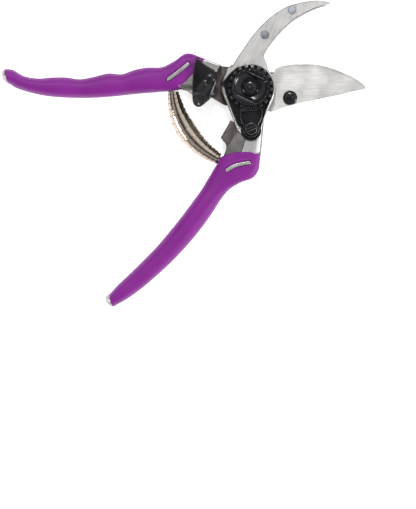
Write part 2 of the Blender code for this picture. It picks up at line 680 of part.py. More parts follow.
def make_toothed_segment():
    """Segment that locks the nut: its teeth stand in the nut's gaps."""
    pitch = 360 / NUT_TEETH
    inner = NUT_RADIUS + GAP
    outline = [(-5.0, -17.6), (-5.2, -15.0)]
    outline += arc(inner + 0.1, 248, 296, 8)
    outline += [(6.6, -13.5), (6.5, -17.6), (4.9, -20.8)]
    outline += arc(SEGMENT_TAIL_RADIUS, 30, -210, 12, SEGMENT_SCREW_AT)
    hole = circle(SEGMENT_SCREW_SHANK + GAP, 16, SEGMENT_SCREW_AT)
    segment = plate("toothed_segment", outline, NUT_LOW, SEGMENT_TOP, BLACK_STEEL, [hole])
    tooth_middle = 270 - (270 % pitch) + pitch * 0.16
    for i in (-1, 0, 1):
        middle = tooth_middle + i * pitch
        half = pitch * 0.12
        root = inner + 1.0
        tip = NUT_RADIUS - TOOTH_DEPTH + GAP
        tooth = [polar(root, middle - half), polar(tip, middle - half * 0.6)]
        tooth += [polar(tip, middle + half * 0.6), polar(root, middle + half)]
        name = f"segment_tooth_{i + 2}"
        combine(segment, "UNION", tool_plate(name, tooth, NUT_LOW, SEGMENT_TOP))
    return segment


def make_segment_screw():
    """Slotted six-sided screw that holds the segment and the plate down."""
    head_low = SEGMENT_TOP + GAP
    head_top = head_low + 1.6
    hexagon = [polar(SEGMENT_SCREW_RADIUS, 60 * i, SEGMENT_SCREW_AT) for i in range(6)]
    screw = plate("segment_screw", hexagon, head_low, head_top, BLACK_STEEL)
    shank = circle(SEGMENT_SCREW_SHANK, 16, SEGMENT_SCREW_AT)
    shank_tool = tool_plate("segment_screw_shank", shank, SEGMENT_SCREW_FOOT, head_low + 0.5)
    combine(screw, "UNION", shank_tool)
    along = Vector(polar(4.0, 30))
    across = Vector(polar(0.5, 120))
    middle = Vector(SEGMENT_SCREW_AT)
    slot = [middle + along + across, middle - along + across]
    slot += [middle - along - across, middle + along - across]
    slot_tool = tool_plate("segment_screw_slot", slot, head_top - 0.7, head_top + 1.0)
    combine(screw, "DIFFERENCE", slot_tool)
    return screw


# ---------------------------------------------------------------- latch

LATCH_LEFT = [(-32.4, 13.0), (-33.2, 8.0), (-33.5, 0.0), (-33.4, -7.0)]
LATCH_TAB = [(-33.1, -9.0), (-31.8, -10.8), (-29.8, -11.3), (-28.3, -11.0)]
LATCH_RIGHT = [
    (-26.0, -9.2), (-23.5, -7.0), (-22.5, -4.5), (-21.0, -1.0), (-19.5, 3.0), (-18.8, 7.0),
]
LATCH_TIP_SIDE = [(-20.0, 9.6), (-25.0, 12.5), (-28.0, 15.2)]


def make_latch():
    """Pressed thumb latch: a plate with a hub, a raised thumb tab and a hooking tooth below."""
    tip = polar(LATCH_TIP_RADIUS, LATCH_TIP_ANGLE, LATCH_AT)
    outline = [tip] + LATCH_LEFT + LATCH_TAB + LATCH_RIGHT + LATCH_TIP_SIDE
    outline = smooth(outline[:5], 2)[:-1] + outline[4:]
    bore = circle(LATCH_SCREW_SHANK + GAP, 16, LATCH_AT)
    latch = plate("thumb_latch", outline, LATCH_LOW, LATCH_TOP, BLACK_STEEL, [bore])
    hub = circle(LATCH_HUB_RADIUS, 16, LATCH_AT)
    washer_top = FRONT_TOP + GAP + WASHER_THICKNESS
    hub_tool = tool_plate("latch_hub", hub, washer_top + GAP, LATCH_LOW + 0.5, [bore])
    combine(latch, "UNION", hub_tool)
    tab = circle(LATCH_TAB_RADIUS, 16, LATCH_TAB_AT)
    tab_top = LATCH_TOP + LATCH_TAB_HEIGHT
    tab_tool = tool_plate("latch_thumb_tab", tab, LATCH_TOP - 0.5, tab_top)
    combine(latch, "UNION", tab_tool)
    corners = [(10.8, -4), (10.8, 5), (12.6, 5), (12.6, -4)]
    tooth = [polar(r, LATCH_TOOTH_ANGLE + a, LATCH_AT) for r, a in corners]
    tooth_tool = tool_plate("latch_tooth", tooth, PLATE_LOW + 0.1, LATCH_LOW + 0.5)
    combine(latch, "UNION", tooth_tool)
    return latch


def make_latch_washer():
    """Spring washer under the latch, which gives it the friction to stay put."""
    rim = circle(LATCH_HUB_RADIUS, 20, LATCH_AT)
    bore = circle(LATCH_SCREW_SHANK + GAP, 16, LATCH_AT)
    low = FRONT_TOP + GAP
    return plate("latch_washer", rim, low, low + WASHER_THICKNESS, RIVET_STEEL, [bore])


def make_latch_screw():
    """Domed screw that the latch turns on, set in the blade handle."""
    head_low = LATCH_TOP + GAP
    profile = dome(LATCH_SCREW_RADIUS, head_low + 0.3, head_low + 1.3)
    profile += [(LATCH_SCREW_RADIUS, head_low), (LATCH_SCREW_SHANK, head_low)]
    profile += [(LATCH_SCREW_SHANK, LATCH_SCREW_FOOT), (0, LATCH_SCREW_FOOT)]
    shade(turned("latch_screw", profile, LATCH_AT, BLACK_STEEL, 20))


# ---------------------------------------------------------------- spring


def make_spring():
    """Double volute spring: a sleeve of its outer shape, thin at its ends and fat at its middle."""
    steps = 18
    sides = 16
    setback = math.degrees(SPRING_END_SETBACK / SPRING_ARC_RADIUS)
    first = SPRING_START_ANGLE + setback
    span = SPRING_END_ANGLE - setback - first
    swell = SPRING_MIDDLE_RADIUS - SPRING_END_RADIUS
    outer = []
    inner = []
    for i in range(steps + 1):
        share = i / steps
        angle = first + span * share
        body = SPRING_END_RADIUS + swell * math.sin(math.pi * share)
        for rings, radius in ((outer, body), (inner, SPRING_PEG_RADIUS + GAP)):
            ring = []
            for k in range(sides):
                turn = math.tau * k / sides
                x, y = polar(SPRING_ARC_RADIUS + radius * math.cos(turn), angle)
                ring.append((x * MM, y * MM, (GRIP_MIDDLE + radius * math.sin(turn)) * MM))
            rings.append(ring)
    spring = add_part("volute_spring", sleeve_loft("volute_spring", outer, inner), NICKEL)
    shade(spring)


make_hooked_handle()
make_anvil_blade()
make_rivets()
make_blade_handle()
make_cutting_blade()
make_bumper()
make_blade_screw()
make_pivot_bolt()
make_lock_plate()
make_adjusting_nut()
make_toothed_segment()
make_segment_screw()
make_latch()
make_latch_washer()
make_latch_screw()
make_spring()
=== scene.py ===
import bmesh
import bpy
import numpy as np
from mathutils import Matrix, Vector
from mathutils.geometry import tessellate_polygon


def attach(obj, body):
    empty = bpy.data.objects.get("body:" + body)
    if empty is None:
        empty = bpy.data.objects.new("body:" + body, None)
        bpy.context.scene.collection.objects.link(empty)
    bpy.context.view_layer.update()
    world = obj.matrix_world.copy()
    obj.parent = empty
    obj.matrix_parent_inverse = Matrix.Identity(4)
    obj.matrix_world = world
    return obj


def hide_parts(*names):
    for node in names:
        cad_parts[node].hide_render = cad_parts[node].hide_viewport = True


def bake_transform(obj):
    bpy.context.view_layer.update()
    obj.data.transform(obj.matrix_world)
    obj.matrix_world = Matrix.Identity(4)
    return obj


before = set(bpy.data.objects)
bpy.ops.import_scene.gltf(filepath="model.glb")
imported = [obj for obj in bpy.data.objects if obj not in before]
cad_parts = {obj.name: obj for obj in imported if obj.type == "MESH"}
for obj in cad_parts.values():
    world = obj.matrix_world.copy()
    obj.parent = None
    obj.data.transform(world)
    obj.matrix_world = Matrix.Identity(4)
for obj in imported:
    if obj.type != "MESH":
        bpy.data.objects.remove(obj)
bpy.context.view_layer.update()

# ---------------------------------------------------------------- camera, floor and studio light
# The shears lie on pale paper and are seen from straight above through a long lens. A light tent
# stands round them: bright at the horizon, one dark band, and a dark opening for the lens.

CAMERA_HEIGHT = 1.6
PICTURE_WIDTH = 0.2392
PICTURE_CENTRE = (-0.0243, -0.0957)
PICTURE_LEVEL = 0.012
SENSOR = 36.0
TENT = [(0.0, 1.9), (0.25, 1.9), (0.31, 0.09), (0.55, 0.09), (0.66, 1.2), (0.90, 1.15)]
BRIGHT_SIDE = (0.62, 0.55, 0.0)
LENS_OPENING = (-0.10, -0.10, 0.99)
TENT_STRENGTH = 0.84
LIT_POINT = Vector((-0.02, -0.03, 0.0))
PAPER_HALF = 1500.0
PAPER_LEVEL = -0.05
MM = 0.001

camera = bpy.data.objects.new("camera", bpy.data.cameras.new("camera"))
bpy.context.scene.collection.objects.link(camera)
camera.location = (*PICTURE_CENTRE, CAMERA_HEIGHT)
camera.data.sensor_fit = "HORIZONTAL"
camera.data.sensor_width = SENSOR
camera.data.lens = SENSOR * (CAMERA_HEIGHT - PICTURE_LEVEL) / PICTURE_WIDTH
camera.data.clip_end = 20.0
bpy.context.scene.camera = camera
bpy.context.scene.view_settings.view_transform = "Standard"


def node_material(name, roughness, metallic, specular=0.5):
    """A node material with these shader values: itself, its nodes, its links and its shader."""
    made = bpy.data.materials.new(name)
    made.use_nodes = True
    shader = made.node_tree.nodes["Principled BSDF"]
    shader.inputs["Roughness"].default_value = roughness
    shader.inputs["Metallic"].default_value = metallic
    shader.inputs["Specular IOR Level"].default_value = specular
    return made, made.node_tree.nodes, made.node_tree.links, shader


def map_range(nodes, low, high, to_low, to_high):
    """A node that maps low to high onto to_low to to_high."""
    node = nodes.new("ShaderNodeMapRange")
    ends = zip(("From Min", "From Max", "To Min", "To Max"), (low, high, to_low, to_high))
    for label, value in ends:
        node.inputs[label].default_value = value
    return node


def two_tone(nodes, places, colours):
    """A colour ramp node between two colours, which stand at these two places."""
    node = nodes.new("ShaderNodeValToRGB")
    for stop, at, colour in zip(node.color_ramp.elements, places, colours):
        stop.position = at
        stop.color = (*colour, 1)
    return node


def noise_of(tree, vector, scale, detail):
    """A noise node that reads this vector output."""
    node = tree.nodes.new("ShaderNodeTexNoise")
    node.inputs["Scale"].default_value = scale
    node.inputs["Detail"].default_value = detail
    tree.links.new(vector, node.inputs["Vector"])
    return node


def roughen(nodes, links, shader, height, strength, distance):
    """A bump from this height output onto the shader's normal."""
    bump = nodes.new("ShaderNodeBump")
    bump.inputs["Strength"].default_value = strength
    bump.inputs["Distance"].default_value = distance
    links.new(height, bump.inputs["Height"])
    links.new(bump.outputs["Normal"], shader.inputs["Normal"])


def place(name, vertices, faces, material, sharp=35.0, flat=(), marks=None):
    """A mesh object at the origin from vertices in millimetres.

    Faces meet smoothly below the sharp angle, the flat ones stay flat, and marks is a value
    from 0 to 1 at each vertex that the material reads as the attribute "mark".
    """
    mesh = bpy.data.meshes.new(name)
    mesh.from_pydata((np.asarray(vertices, float) * MM).tolist(), [], faces)
    shape = bmesh.new()
    shape.from_mesh(mesh)
    bmesh.ops.recalc_face_normals(shape, faces=shape.faces)
    shape.to_mesh(mesh)
    shape.free()
    mesh.materials.append(material)
    smooth = np.ones(len(mesh.polygons), bool)
    mesh.polygons.foreach_set("use_smooth", smooth)
    mesh.set_sharp_from_angle(angle=np.radians(sharp))
    smooth[list(flat)] = False
    mesh.polygons.foreach_set("use_smooth", smooth)
    marks = np.zeros(len(mesh.vertices)) if marks is None else marks
    attribute = mesh.attributes.new("mark", "FLOAT", "POINT")
    attribute.data.foreach_set("value", np.asarray(marks, np.float32))
    piece = bpy.data.objects.new(name, mesh)
    bpy.context.scene.collection.objects.link(piece)
    return piece


def settle(piece, slot, body, *nodes):
    """Hide the CAD nodes that a finished piece stands for, and attach it to its body; slot is not used.
    """
    if nodes:
        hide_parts(*nodes)
    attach(piece, body)


paper, _, _, shader = node_material("pale_paper", 0.9, 0.0, 0.1)
shader.inputs["Base Color"].default_value = (0.93, 0.93, 0.93, 1)
shader.inputs["Emission Color"].default_value = (1.0, 1.0, 1.0, 1)
shader.inputs["Emission Strength"].default_value = 0.62
quarters = ((-1, -1), (1, -1), (1, 1), (-1, 1))
corners = [(x * PAPER_HALF, y * PAPER_HALF, PAPER_LEVEL) for x, y in quarters]
floor = place("floor", corners, [(0, 1, 2, 3)], paper)

world = bpy.data.worlds.new("light_tent")
bpy.context.scene.world = world
world.use_nodes = True
nodes = world.node_tree.nodes
links = world.node_tree.links
direction = nodes.new("ShaderNodeTexCoord")
split = nodes.new("ShaderNodeSeparateXYZ")
links.new(direction.outputs["Generated"], split.inputs[0])
height = nodes.new("ShaderNodeValToRGB")
links.new(split.outputs["Z"], height.inputs["Fac"])
while len(height.color_ramp.elements) < len(TENT):
    height.color_ramp.elements.new(0.5)
for stop, (at, level) in zip(height.color_ramp.elements, TENT):
    stop.position = at
    stop.color = (level, level, level, 1)
lean = nodes.new("ShaderNodeVectorMath")
lean.operation = "DOT_PRODUCT"
lean.inputs[1].default_value = BRIGHT_SIDE
links.new(direction.outputs["Generated"], lean.inputs[0])
share = map_range(nodes, -0.5, 0.5, 0.62, 1.12)
links.new(lean.outputs["Value"], share.inputs["Value"])
near = nodes.new("ShaderNodeVectorMath")
near.operation = "DOT_PRODUCT"
near.inputs[1].default_value = LENS_OPENING
links.new(direction.outputs["Generated"], near.inputs[0])
opening = map_range(nodes, 0.945, 0.975, 1.0, 0.12)
links.new(near.outputs["Value"], opening.inputs["Value"])
level = nodes.new("ShaderNodeMath")
level.operation = "MULTIPLY"
links.new(share.outputs["Result"], level.inputs[0])
links.new(opening.outputs["Result"], level.inputs[1])
both = nodes.new("ShaderNodeVectorMath")
both.operation = "SCALE"
links.new(height.outputs["Color"], both.inputs[0])
links.new(level.outputs["Value"], both.inputs["Scale"])
links.new(both.outputs["Vector"], nodes["Background"].inputs["Color"])
nodes["Background"].inputs["Strength"].default_value = TENT_STRENGTH


def softbox(name, stand, size, power):
    """A square area light that faces the head of the shears."""
    data = bpy.data.lights.new(name, "AREA")
    data.size = size
    data.energy = power
    light = bpy.data.objects.new(name, data)
    bpy.context.scene.collection.objects.link(light)
    light.location = stand
    aim = LIT_POINT - Vector(stand)
    light.rotation_euler = aim.to_track_quat("-Z", "Y").to_euler()


softbox("key_light", (-0.05, 0.62, 1.15), 0.15, 7.0)
softbox("right_light", (0.90, -0.35, 0.55), 0.25, 8.0)
softbox("left_light", (-0.95, -0.45, 0.50), 0.20, 5.0)

# ---------------------------------------------------------------- purple vinyl grips
# Each handle's core is dipped in soft purple vinyl. The dip leaves a rounded lip at the mouth, a
# slot where a rib of the forging shows through, and is trimmed so that the bare tip stands out.

GRIP_MIDDLE = 8.4
GRIP_WALL = 1.5
MOUTH_HALF = 7.95
HAND_HALF = 8.35
MOUTH_ROUNDNESS = 0.38
HAND_ROUNDNESS = 0.8
MOUTH_END = 4
HAND_START = 7
NEAR_RINGS = 150
FAR_RINGS = 90
INNER_RINGS = 30
SLOT_DEPTH = 0.9
SLOT_RADII = (1.1, 1.45)
SWELL_HEIGHT = 0.2
SWELL_RADIUS = 1.95
SWELL_SPREAD = 0.5
UPPER_GRIP = [
    ((-26.3, 17.0), (-42.5, -0.9)), ((-30.0, 18.4), (-44.5, -1.3)), ((-34.0, 19.9), (-47.0, -1.5)),
    ((-38.0, 19.6), (-49.5, -1.8)), ((-44.0, 15.5), (-52.5, -2.0)), ((-51.0, 12.2), (-56.0, -2.3)),
    ((-59.0, 12.0), (-61.0, -2.7)), ((-66.5, 10.7), (-67.0, -3.3)), ((-74.0, 8.2), (-74.0, -4.1)),
    ((-82.0, 8.6), (-82.0, -4.9)), ((-90.0, 6.7), (-90.0, -5.4)), ((-98.0, 5.3), (-98.0, -5.5)),
    ((-106.0, 6.3), (-106.0, -5.3)), ((-114.0, 6.3), (-113.5, -4.8)), ((-122.0, 5.7), (-121.0, -3.7)),
    ((-130.0, 7.0), (-128.5, -1.9)), ((-136.5, 10.6), (-134.5, 0.1)), ((-141.0, 11.2), (-138.7, 2.7)),
]
LOWER_GRIP = [
    ((5.9, -38.3), (-17.5, -40.5)), ((5.6, -42.0), (-19.0, -43.5)), ((4.8, -47.1), (-21.8, -48.0)),
    ((1.5, -51.6), (-24.9, -53.0)), ((-5.3, -54.2), (-28.2, -58.5)), ((-11.9, -58.2), (-32.2, -64.0)),
    ((-17.0, -64.2), (-35.9, -69.0)), ((-22.5, -72.8), (-40.6, -75.2)),
    ((-29.2, -82.0), (-46.3, -82.2)), ((-37.0, -91.2), (-52.8, -90.0)),
    ((-45.3, -100.0), (-59.2, -96.7)), ((-54.5, -108.5), (-65.3, -102.8)),
    ((-62.8, -115.5), (-70.9, -108.2)), ((-70.9, -121.3), (-76.2, -113.2)),
    ((-78.7, -125.8), (-80.6, -118.0)),
]
UPPER_RIB = [(-47.0, 4.9), (-41.4, 9.1), (-35.8, 13.5)]
LOWER_RIB = [(-13.3, -47.3), (-10.0, -45.3), (-6.0, -44.0), (-0.9, -43.1)]
RIB_HALF_WIDTH = 1.1


def through(points, at):
    """A Catmull-Rom curve: at whole numbers it meets its points, and between them it bends."""
    points = np.asarray(points, float)
    last = len(points) - 1
    i = np.clip(np.floor(at).astype(int), 0, last - 1)
    t = (at - i)[:, None]
    a = points[np.maximum(i - 1, 0)]
    b = points[i]
    c = points[i + 1]
    d = points[np.minimum(i + 2, last)]
    second = 2 * a - 5 * b + 4 * c - d
    third = 3 * b - a - 3 * c + d
    return b + 0.5 * ((c - a) * t + second * t**2 + third * t**3)


def ease(low, high, value):
    """0 below low, 1 above high, and 3t^2 - 2t^3 between them."""
    t = np.clip((value - low) / (high - low), 0, 1)
    return t * t * (3 - 2 * t)


def distance_to(path, x, y):
    """The shortest distance from each point to a line of short straight pieces."""
    start = path[:-1]
    run = path[1:] - start
    px = x[..., None] - start[:, 0]
    py = y[..., None] - start[:, 1]
    t = np.clip((px * run[:, 0] + py * run[:, 1]) / (run**2).sum(1), 0, 1)
    return np.hypot(px - t * run[:, 0], py - t * run[:, 1]).min(-1)


def rounded_ring(roundness, count):
    """A rounded section as (across, up): cos and sin of the turn, each raised to a power."""
    turn = np.arange(count) / count * 2 * np.pi
    power = np.reshape(roundness, (-1, 1))
    across = np.sign(np.cos(turn)) * np.abs(np.cos(turn)) ** power
    up = np.sign(np.sin(turn)) * np.abs(np.sin(turn)) ** power
    return across, up


def band_faces(rows, columns, round_again=False):
    """Quads of a grid whose columns close round, and whose rows close too if asked."""
    last = rows if round_again else rows - 1
    r, c = np.meshgrid(np.arange(last), np.arange(columns), indexing="ij")
    r2 = (r + 1) % rows
    c2 = (c + 1) % columns
    quads = np.stack([r * columns + c, r * columns + c2, r2 * columns + c2, r2 * columns + c], -1)
    return quads.reshape(-1, 4).tolist()


def grip_surface(stations, rib, bulge, around=240):
    """A sleeve: rounded sections between two edge curves, closed by a round lip at each end.

    A section is its centre, half its width times |cos|^e across and half its thickness times
    |sin|^e up. The rib's slot sinks by an eased step of the distance to its middle line, with a
    swell exp(-d^2) round it. The mouth bows back by the bulge in the middle of its width.
    """
    stations = np.asarray(stations)
    last = len(stations) - 1
    near = np.linspace(0, MOUTH_END, NEAR_RINGS, endpoint=False)
    outer = np.concatenate([near, np.linspace(MOUTH_END, last, FAR_RINGS)])
    lip = np.linspace(0, np.pi, 9)[1:-1]
    inner = np.linspace(last, 0, INNER_RINGS)
    along = np.concatenate([outer, np.full(len(lip), last), inner, np.zeros(len(lip))])
    push = np.concatenate([np.zeros(len(outer)), np.sin(lip), np.zeros(len(inner)), -np.sin(lip)])
    push = push * GRIP_WALL / 2
    rise = (1 - np.cos(lip)) / 2
    inset = np.concatenate([np.zeros(len(outer)), rise, np.ones(len(inner)), 1 - rise]) * GRIP_WALL
    top = through(stations[:, 0], along)
    bottom = through(stations[:, 1], along)
    half = (top - bottom) / 2
    length = np.linalg.norm(half, axis=1, keepdims=True)
    centre = (top + bottom) / 2
    forward = np.stack([half[:, 1], -half[:, 0]], 1) / length
    forward *= np.sign(((centre[2] - centre[0]) * forward[0]).sum())
    thick = MOUTH_HALF + (HAND_HALF - MOUTH_HALF) * ease(MOUTH_END, HAND_START, along)
    softer = (HAND_ROUNDNESS - MOUTH_ROUNDNESS) * ease(0.5, HAND_START, along)
    across, up = rounded_ring(MOUTH_ROUNDNESS + softer, around)
    wide = half * (1 - inset[:, None] / length)
    shift = push[:, None] - bulge * (1 - across**2) * (1 - ease(0, 1.5, along))[:, None]
    x = centre[:, :1] + wide[:, :1] * across + forward[:, :1] * shift
    y = centre[:, 1:] + wide[:, 1:] * across + forward[:, 1:] * shift
    z = GRIP_MIDDLE + (thick - inset)[:, None] * up
    away = distance_to(through(rib, np.linspace(0, len(rib) - 1, 12)), x, y)
    swell = SWELL_HEIGHT * np.exp(-(((away - SWELL_RADIUS) / SWELL_SPREAD) ** 2))
    slot = SLOT_DEPTH * (1 - ease(*SLOT_RADII, away)) - swell
    z = z - np.where((up > 0.2) & (inset[:, None] == 0), slot, 0)
    return np.stack([x, y, z], -1), len(along)


vinyl, nodes, links, shader = node_material("purple_vinyl", 0.42, 0.0, 0.26)
where = nodes.new("ShaderNodeTexCoord")
mottle = noise_of(vinyl.node_tree, where.outputs["Object"], 70.0, 3.0)
tint = two_tone(nodes, (0.3, 0.7), ((0.148, 0.005, 0.172), (0.178, 0.008, 0.205)))
links.new(mottle.outputs["Fac"], tint.inputs["Fac"])
links.new(tint.outputs["Color"], shader.inputs["Base Color"])
pebble = noise_of(vinyl.node_tree, where.outputs["Object"], 1400.0, 2.0)
gloss = map_range(nodes, 0.0, 1.0, 0.44, 0.56)
links.new(mottle.outputs["Fac"], gloss.inputs["Value"])
links.new(gloss.outputs["Result"], shader.inputs["Roughness"])
roughen(nodes, links, shader, pebble.outputs["Fac"], 0.14, 0.0002)

grid, rows = grip_surface(UPPER_GRIP, UPPER_RIB, 0.5)
grip = place("upper_vinyl_grip", grid.reshape(-1, 3), band_faces(rows, grid.shape[1], True), vinyl)
settle(grip, "purple_vinyl", "blade_handle", "upper_grip")
grid, rows = grip_surface(LOWER_GRIP, LOWER_RIB, 1.9)
grip = place("lower_vinyl_grip", grid.reshape(-1, 3), band_faces(rows, grid.shape[1], True), vinyl)
settle(grip, "purple_vinyl", "hooked_handle", "lower_grip")

# ---------------------------------------------------------------- forging of the hooked handle
# One aluminium forging: the flat head with its hook arm, the thick neck with the stop lug, the
# core inside the grip and the bare tip. Its faces are ground, and its corners are chamfered bright.

BACK_FACE = 0.7
BACK_TOP = 5.2
BLADE_LOW = 5.5
BLADE_TOP = 8.5
ANVIL_LOW = 8.8
ANVIL_TOP = 11.3
FRONT_LOW = 11.6
FRONT_TOP = 16.1
STOP_INNER = 22.2
STOP_OUTER = 32.4
STOP_ANGLE = 240.0
BOLT_HOLE = 5.1
RIVET_AT = {"rear": (8.3, 30.3), "front": (24.0, 44.5)}
RIVET_RADIUS = 2.25
HOOK_OUTER = [
    (46.0, 49.2), (40.0, 50.26), (33.0, 49.8), (26.0, 48.3), (21.0, 46.7), (17.0, 44.5), (13.0, 41.8),
    (9.0, 38.5), (5.0, 34.5), (2.0, 31.0), (-1.0, 27.0), (-5.0, 21.0), (-8.0, 16.5), (-10.0, 13.2),
]
HOOK_INNER = [
    (7.5, 18.0), (8.2, 20.3), (10.0, 23.3), (13.0, 27.3), (17.0, 32.0), (21.0, 36.0), (25.0, 39.3),
    (30.0, 42.3), (35.0, 44.8), (40.0, 46.7), (46.0, 48.0),
]
HEAD_RIGHT = [
    (5.9, -37.7), (6.4, -34.0), (6.8, -31.0), (7.3, -25.0), (8.0, -19.0), (10.0, -13.5), (13.7, -6.0),
]
HEAD_LEFT = [(-17.3, 0.6), (-7.3, -24.8), (-2.6, -29.4), (-5.6, -38.6)]
HEAD_RADIUS = 17.1
RIGHT_RADIUS = 14.3
TIP_POWER = 2.4


def curve(points, per_span=8):
    """Many points along a Catmull-Rom curve."""
    spans = len(points) - 1
    return through(points, np.linspace(0, spans, spans * per_span + 1))


def line(*points):
    """The corner points of a straight-sided stretch."""
    return np.array(points, float)


def arc(radius, start, end, count, centre=(0.0, 0.0)):
    """Points along a circle between two angles in degrees, both ends included."""
    angle = np.radians(np.linspace(start, end, count))
    return np.stack([centre[0] + radius * np.cos(angle), centre[1] + radius * np.sin(angle)], 1)


def hole(radius, count, centre=(0.0, 0.0)):
    """A round hole, drawn clockwise so that the plate lies on its outward side."""
    return arc(radius, 360, 360 / count, count, centre)


def drawn_in(loop, distance):
    """A loop moved to its material side: each corner moves along its mitre."""
    before = loop - np.roll(loop, 1, 0)
    after = np.roll(loop, -1, 0) - loop
    out_before = np.stack([before[:, 1], -before[:, 0]], 1)
    out_after = np.stack([after[:, 1], -after[:, 0]], 1)
    out_before /= np.maximum(np.linalg.norm(out_before, axis=1, keepdims=True), 1e-9)
    out_after /= np.maximum(np.linalg.norm(out_after, axis=1, keepdims=True), 1e-9)
    mitre = out_before + out_after
    mitre /= np.maximum(np.linalg.norm(mitre, axis=1, keepdims=True), 1e-9)
    open_by = np.maximum((mitre * out_after).sum(1, keepdims=True), 0.6)
    return loop - mitre / open_by * np.reshape(distance, (-1, 1))


def fill(loops, start, upwards):
    """Triangles that fill an outline with holes, all facing one way, numbered from start."""
    triangles = np.array(tessellate_polygon([[Vector((x, y, 0)) for x, y in loop] for loop in loops]))
    points = np.vstack(loops)
    a, b, c = (points[triangles[:, k]] for k in range(3))
    area = (b[:, 0] - a[:, 0]) * (c[:, 1] - a[:, 1]) - (b[:, 1] - a[:, 1]) * (c[:, 0] - a[:, 0])
    wrong = (area > 0) != upwards
    triangles[wrong] = triangles[wrong][:, ::-1]
    return (triangles + start).tolist()


HOLE_EDGE = 0.12


def slab(outline, holes, profile, widths=None, mark=0.0, slope=None):
    """A plate: its outline and holes carried up a profile of (inset, height), closed by flat caps.

    The outline runs anticlockwise. Widths scale the inset at each point of the outline. A slope
    (dx, dy, at) lowers the upper rings in proportion to their place. Returns the vertices, the
    faces, the flat faces and the marks, as every solid here does.
    """
    widths = np.ones(len(outline)) if widths is None else widths
    loops = [outline, *holes]
    scales = [widths, *[np.full(len(gap), HOLE_EDGE) for gap in holes]]
    count = sum(len(loop) for loop in loops)
    rings = []
    for inset, _ in profile:
        rings.append([drawn_in(loop, inset * scale) for loop, scale in zip(loops, scales)])
    levels = np.repeat([height for _, height in profile], count)
    vertices = np.column_stack([np.vstack([np.vstack(ring) for ring in rings]), levels])
    if slope:
        share = ease(profile[0][1], profile[-1][1], levels)
        vertices[:, 2] -= share * np.clip(vertices[:, :2] @ np.array(slope[:2]) + slope[2], 0, None)
    faces = []
    offset = 0
    for loop in loops:
        quads = np.array(band_faces(len(profile), len(loop)))
        faces += (quads // len(loop) * count + quads % len(loop) + offset).tolist()
        offset += len(loop)
    sides = len(faces)
    faces += fill(rings[0], 0, False)
    faces += fill(rings[-1], (len(profile) - 1) * count, True)
    marks = np.repeat(np.broadcast_to(mark, len(profile)), count)
    return vertices, faces, list(range(sides, len(faces))), marks


def gather(*solids):
    """Several closed solids as one: vertices, faces, flat faces and marks."""
    vertices, faces, flat, marks = [], [], [], []
    start = 0
    for points, polygons, level, mark in solids:
        flat += [len(faces) + i for i in level]
        faces += [[i + start for i in polygon] for polygon in polygons]
        vertices.append(points)
        marks.append(mark)
        start += len(points)
    return np.vstack(vertices), faces, flat, np.concatenate(marks)


def rounded(low, high, under_edge, upper_edge, steps=5):
    """A wall with a quarter-round corner below and one above."""
    turn = np.linspace(0, np.pi / 2, steps)
    under = [(under_edge * (1 - np.sin(t)), low + under_edge * (1 - np.cos(t))) for t in turn]
    over = [(upper_edge * (1 - np.cos(t)), high - upper_edge * (1 - np.sin(t))) for t in turn]
    return under + over


def chamfered(low, high, under_edge, width):
    """A wall with a small round below, and above it a rolled corner and then a 45-degree chamfer."""
    under = rounded(low, high, under_edge, 0.1, 4)[:4]
    corner = [(0, 1.2), (0.26, 0.92), (0.32, 0.86), (0.95, 0.06), (1.12, 0)]
    return under + [(inset * width, high - depth * width) for inset, depth in corner]


def tube_solid(grid, mark=0.0):
    """A closed solid from rings of points, with its two end rings filled."""
    rows, columns = grid.shape[:2]
    faces = band_faces(rows, columns)
    faces += [list(range(columns))[::-1], list(range((rows - 1) * columns, rows * columns))]
    return grid.reshape(-1, 3), faces, [], np.full(rows * columns, mark)


def bare_tip(stations, reach, lean):
    """The core's end, a dome past the grip, with its root just inside the sleeve.

    Ring s is the last section times (1 - s^p)^(1/p), moved out by s times the reach.
    """
    top, bottom = np.array(stations[-1])
    half = (top - bottom) / 2
    length = np.linalg.norm(half)
    out = np.array([half[1], -half[0]]) / length
    out *= np.sign(((top + bottom) / 2 - np.mean(stations[-2], 0)) @ out)
    share = np.concatenate([[-0.3], np.linspace(0, 1, 14)])[:, None]
    size = (1 - np.clip(share, 0, 0.999) ** TIP_POWER) ** (1 / TIP_POWER)
    size = np.where(share < 0, 0.8, size)
    across, up = rounded_ring(HAND_ROUNDNESS, 72)
    wide = half * (1 - 0.3 / length)
    middle = (top + bottom) / 2 + (out * reach + half / length * lean) * share
    x = middle[:, :1] + wide[0] * size * across
    y = middle[:, 1:] + wide[1] * size * across
    z = GRIP_MIDDLE + (HAND_HALF - 0.6) * size * up
    return tube_solid(np.stack([x, y, z], -1), 0.35)


def rib_solid(path):
    """The forging's rib: a round-ended ribbon along its middle line, raised through the slot."""
    middle = through(path, np.linspace(0, len(path) - 1, 16))
    run = np.gradient(middle, axis=0)
    across = np.stack([-run[:, 1], run[:, 0]], 1)
    across *= RIB_HALF_WIDTH / np.linalg.norm(across, axis=1, keepdims=True)
    first, last = np.degrees(np.arctan2(across[[0, -1], 1], across[[0, -1], 0]))
    loop = np.vstack([
        (middle - across)[1:-1], arc(RIB_HALF_WIDTH, last - 180, last, 9, middle[-1]),
        (middle + across)[1:-1][::-1], arc(RIB_HALF_WIDTH, first, first + 180, 9, middle[0]),
    ])
    return slab(loop, [], rounded(GRIP_MIDDLE, FRONT_TOP + 0.25, 0.2, 0.45), mark=0.22)


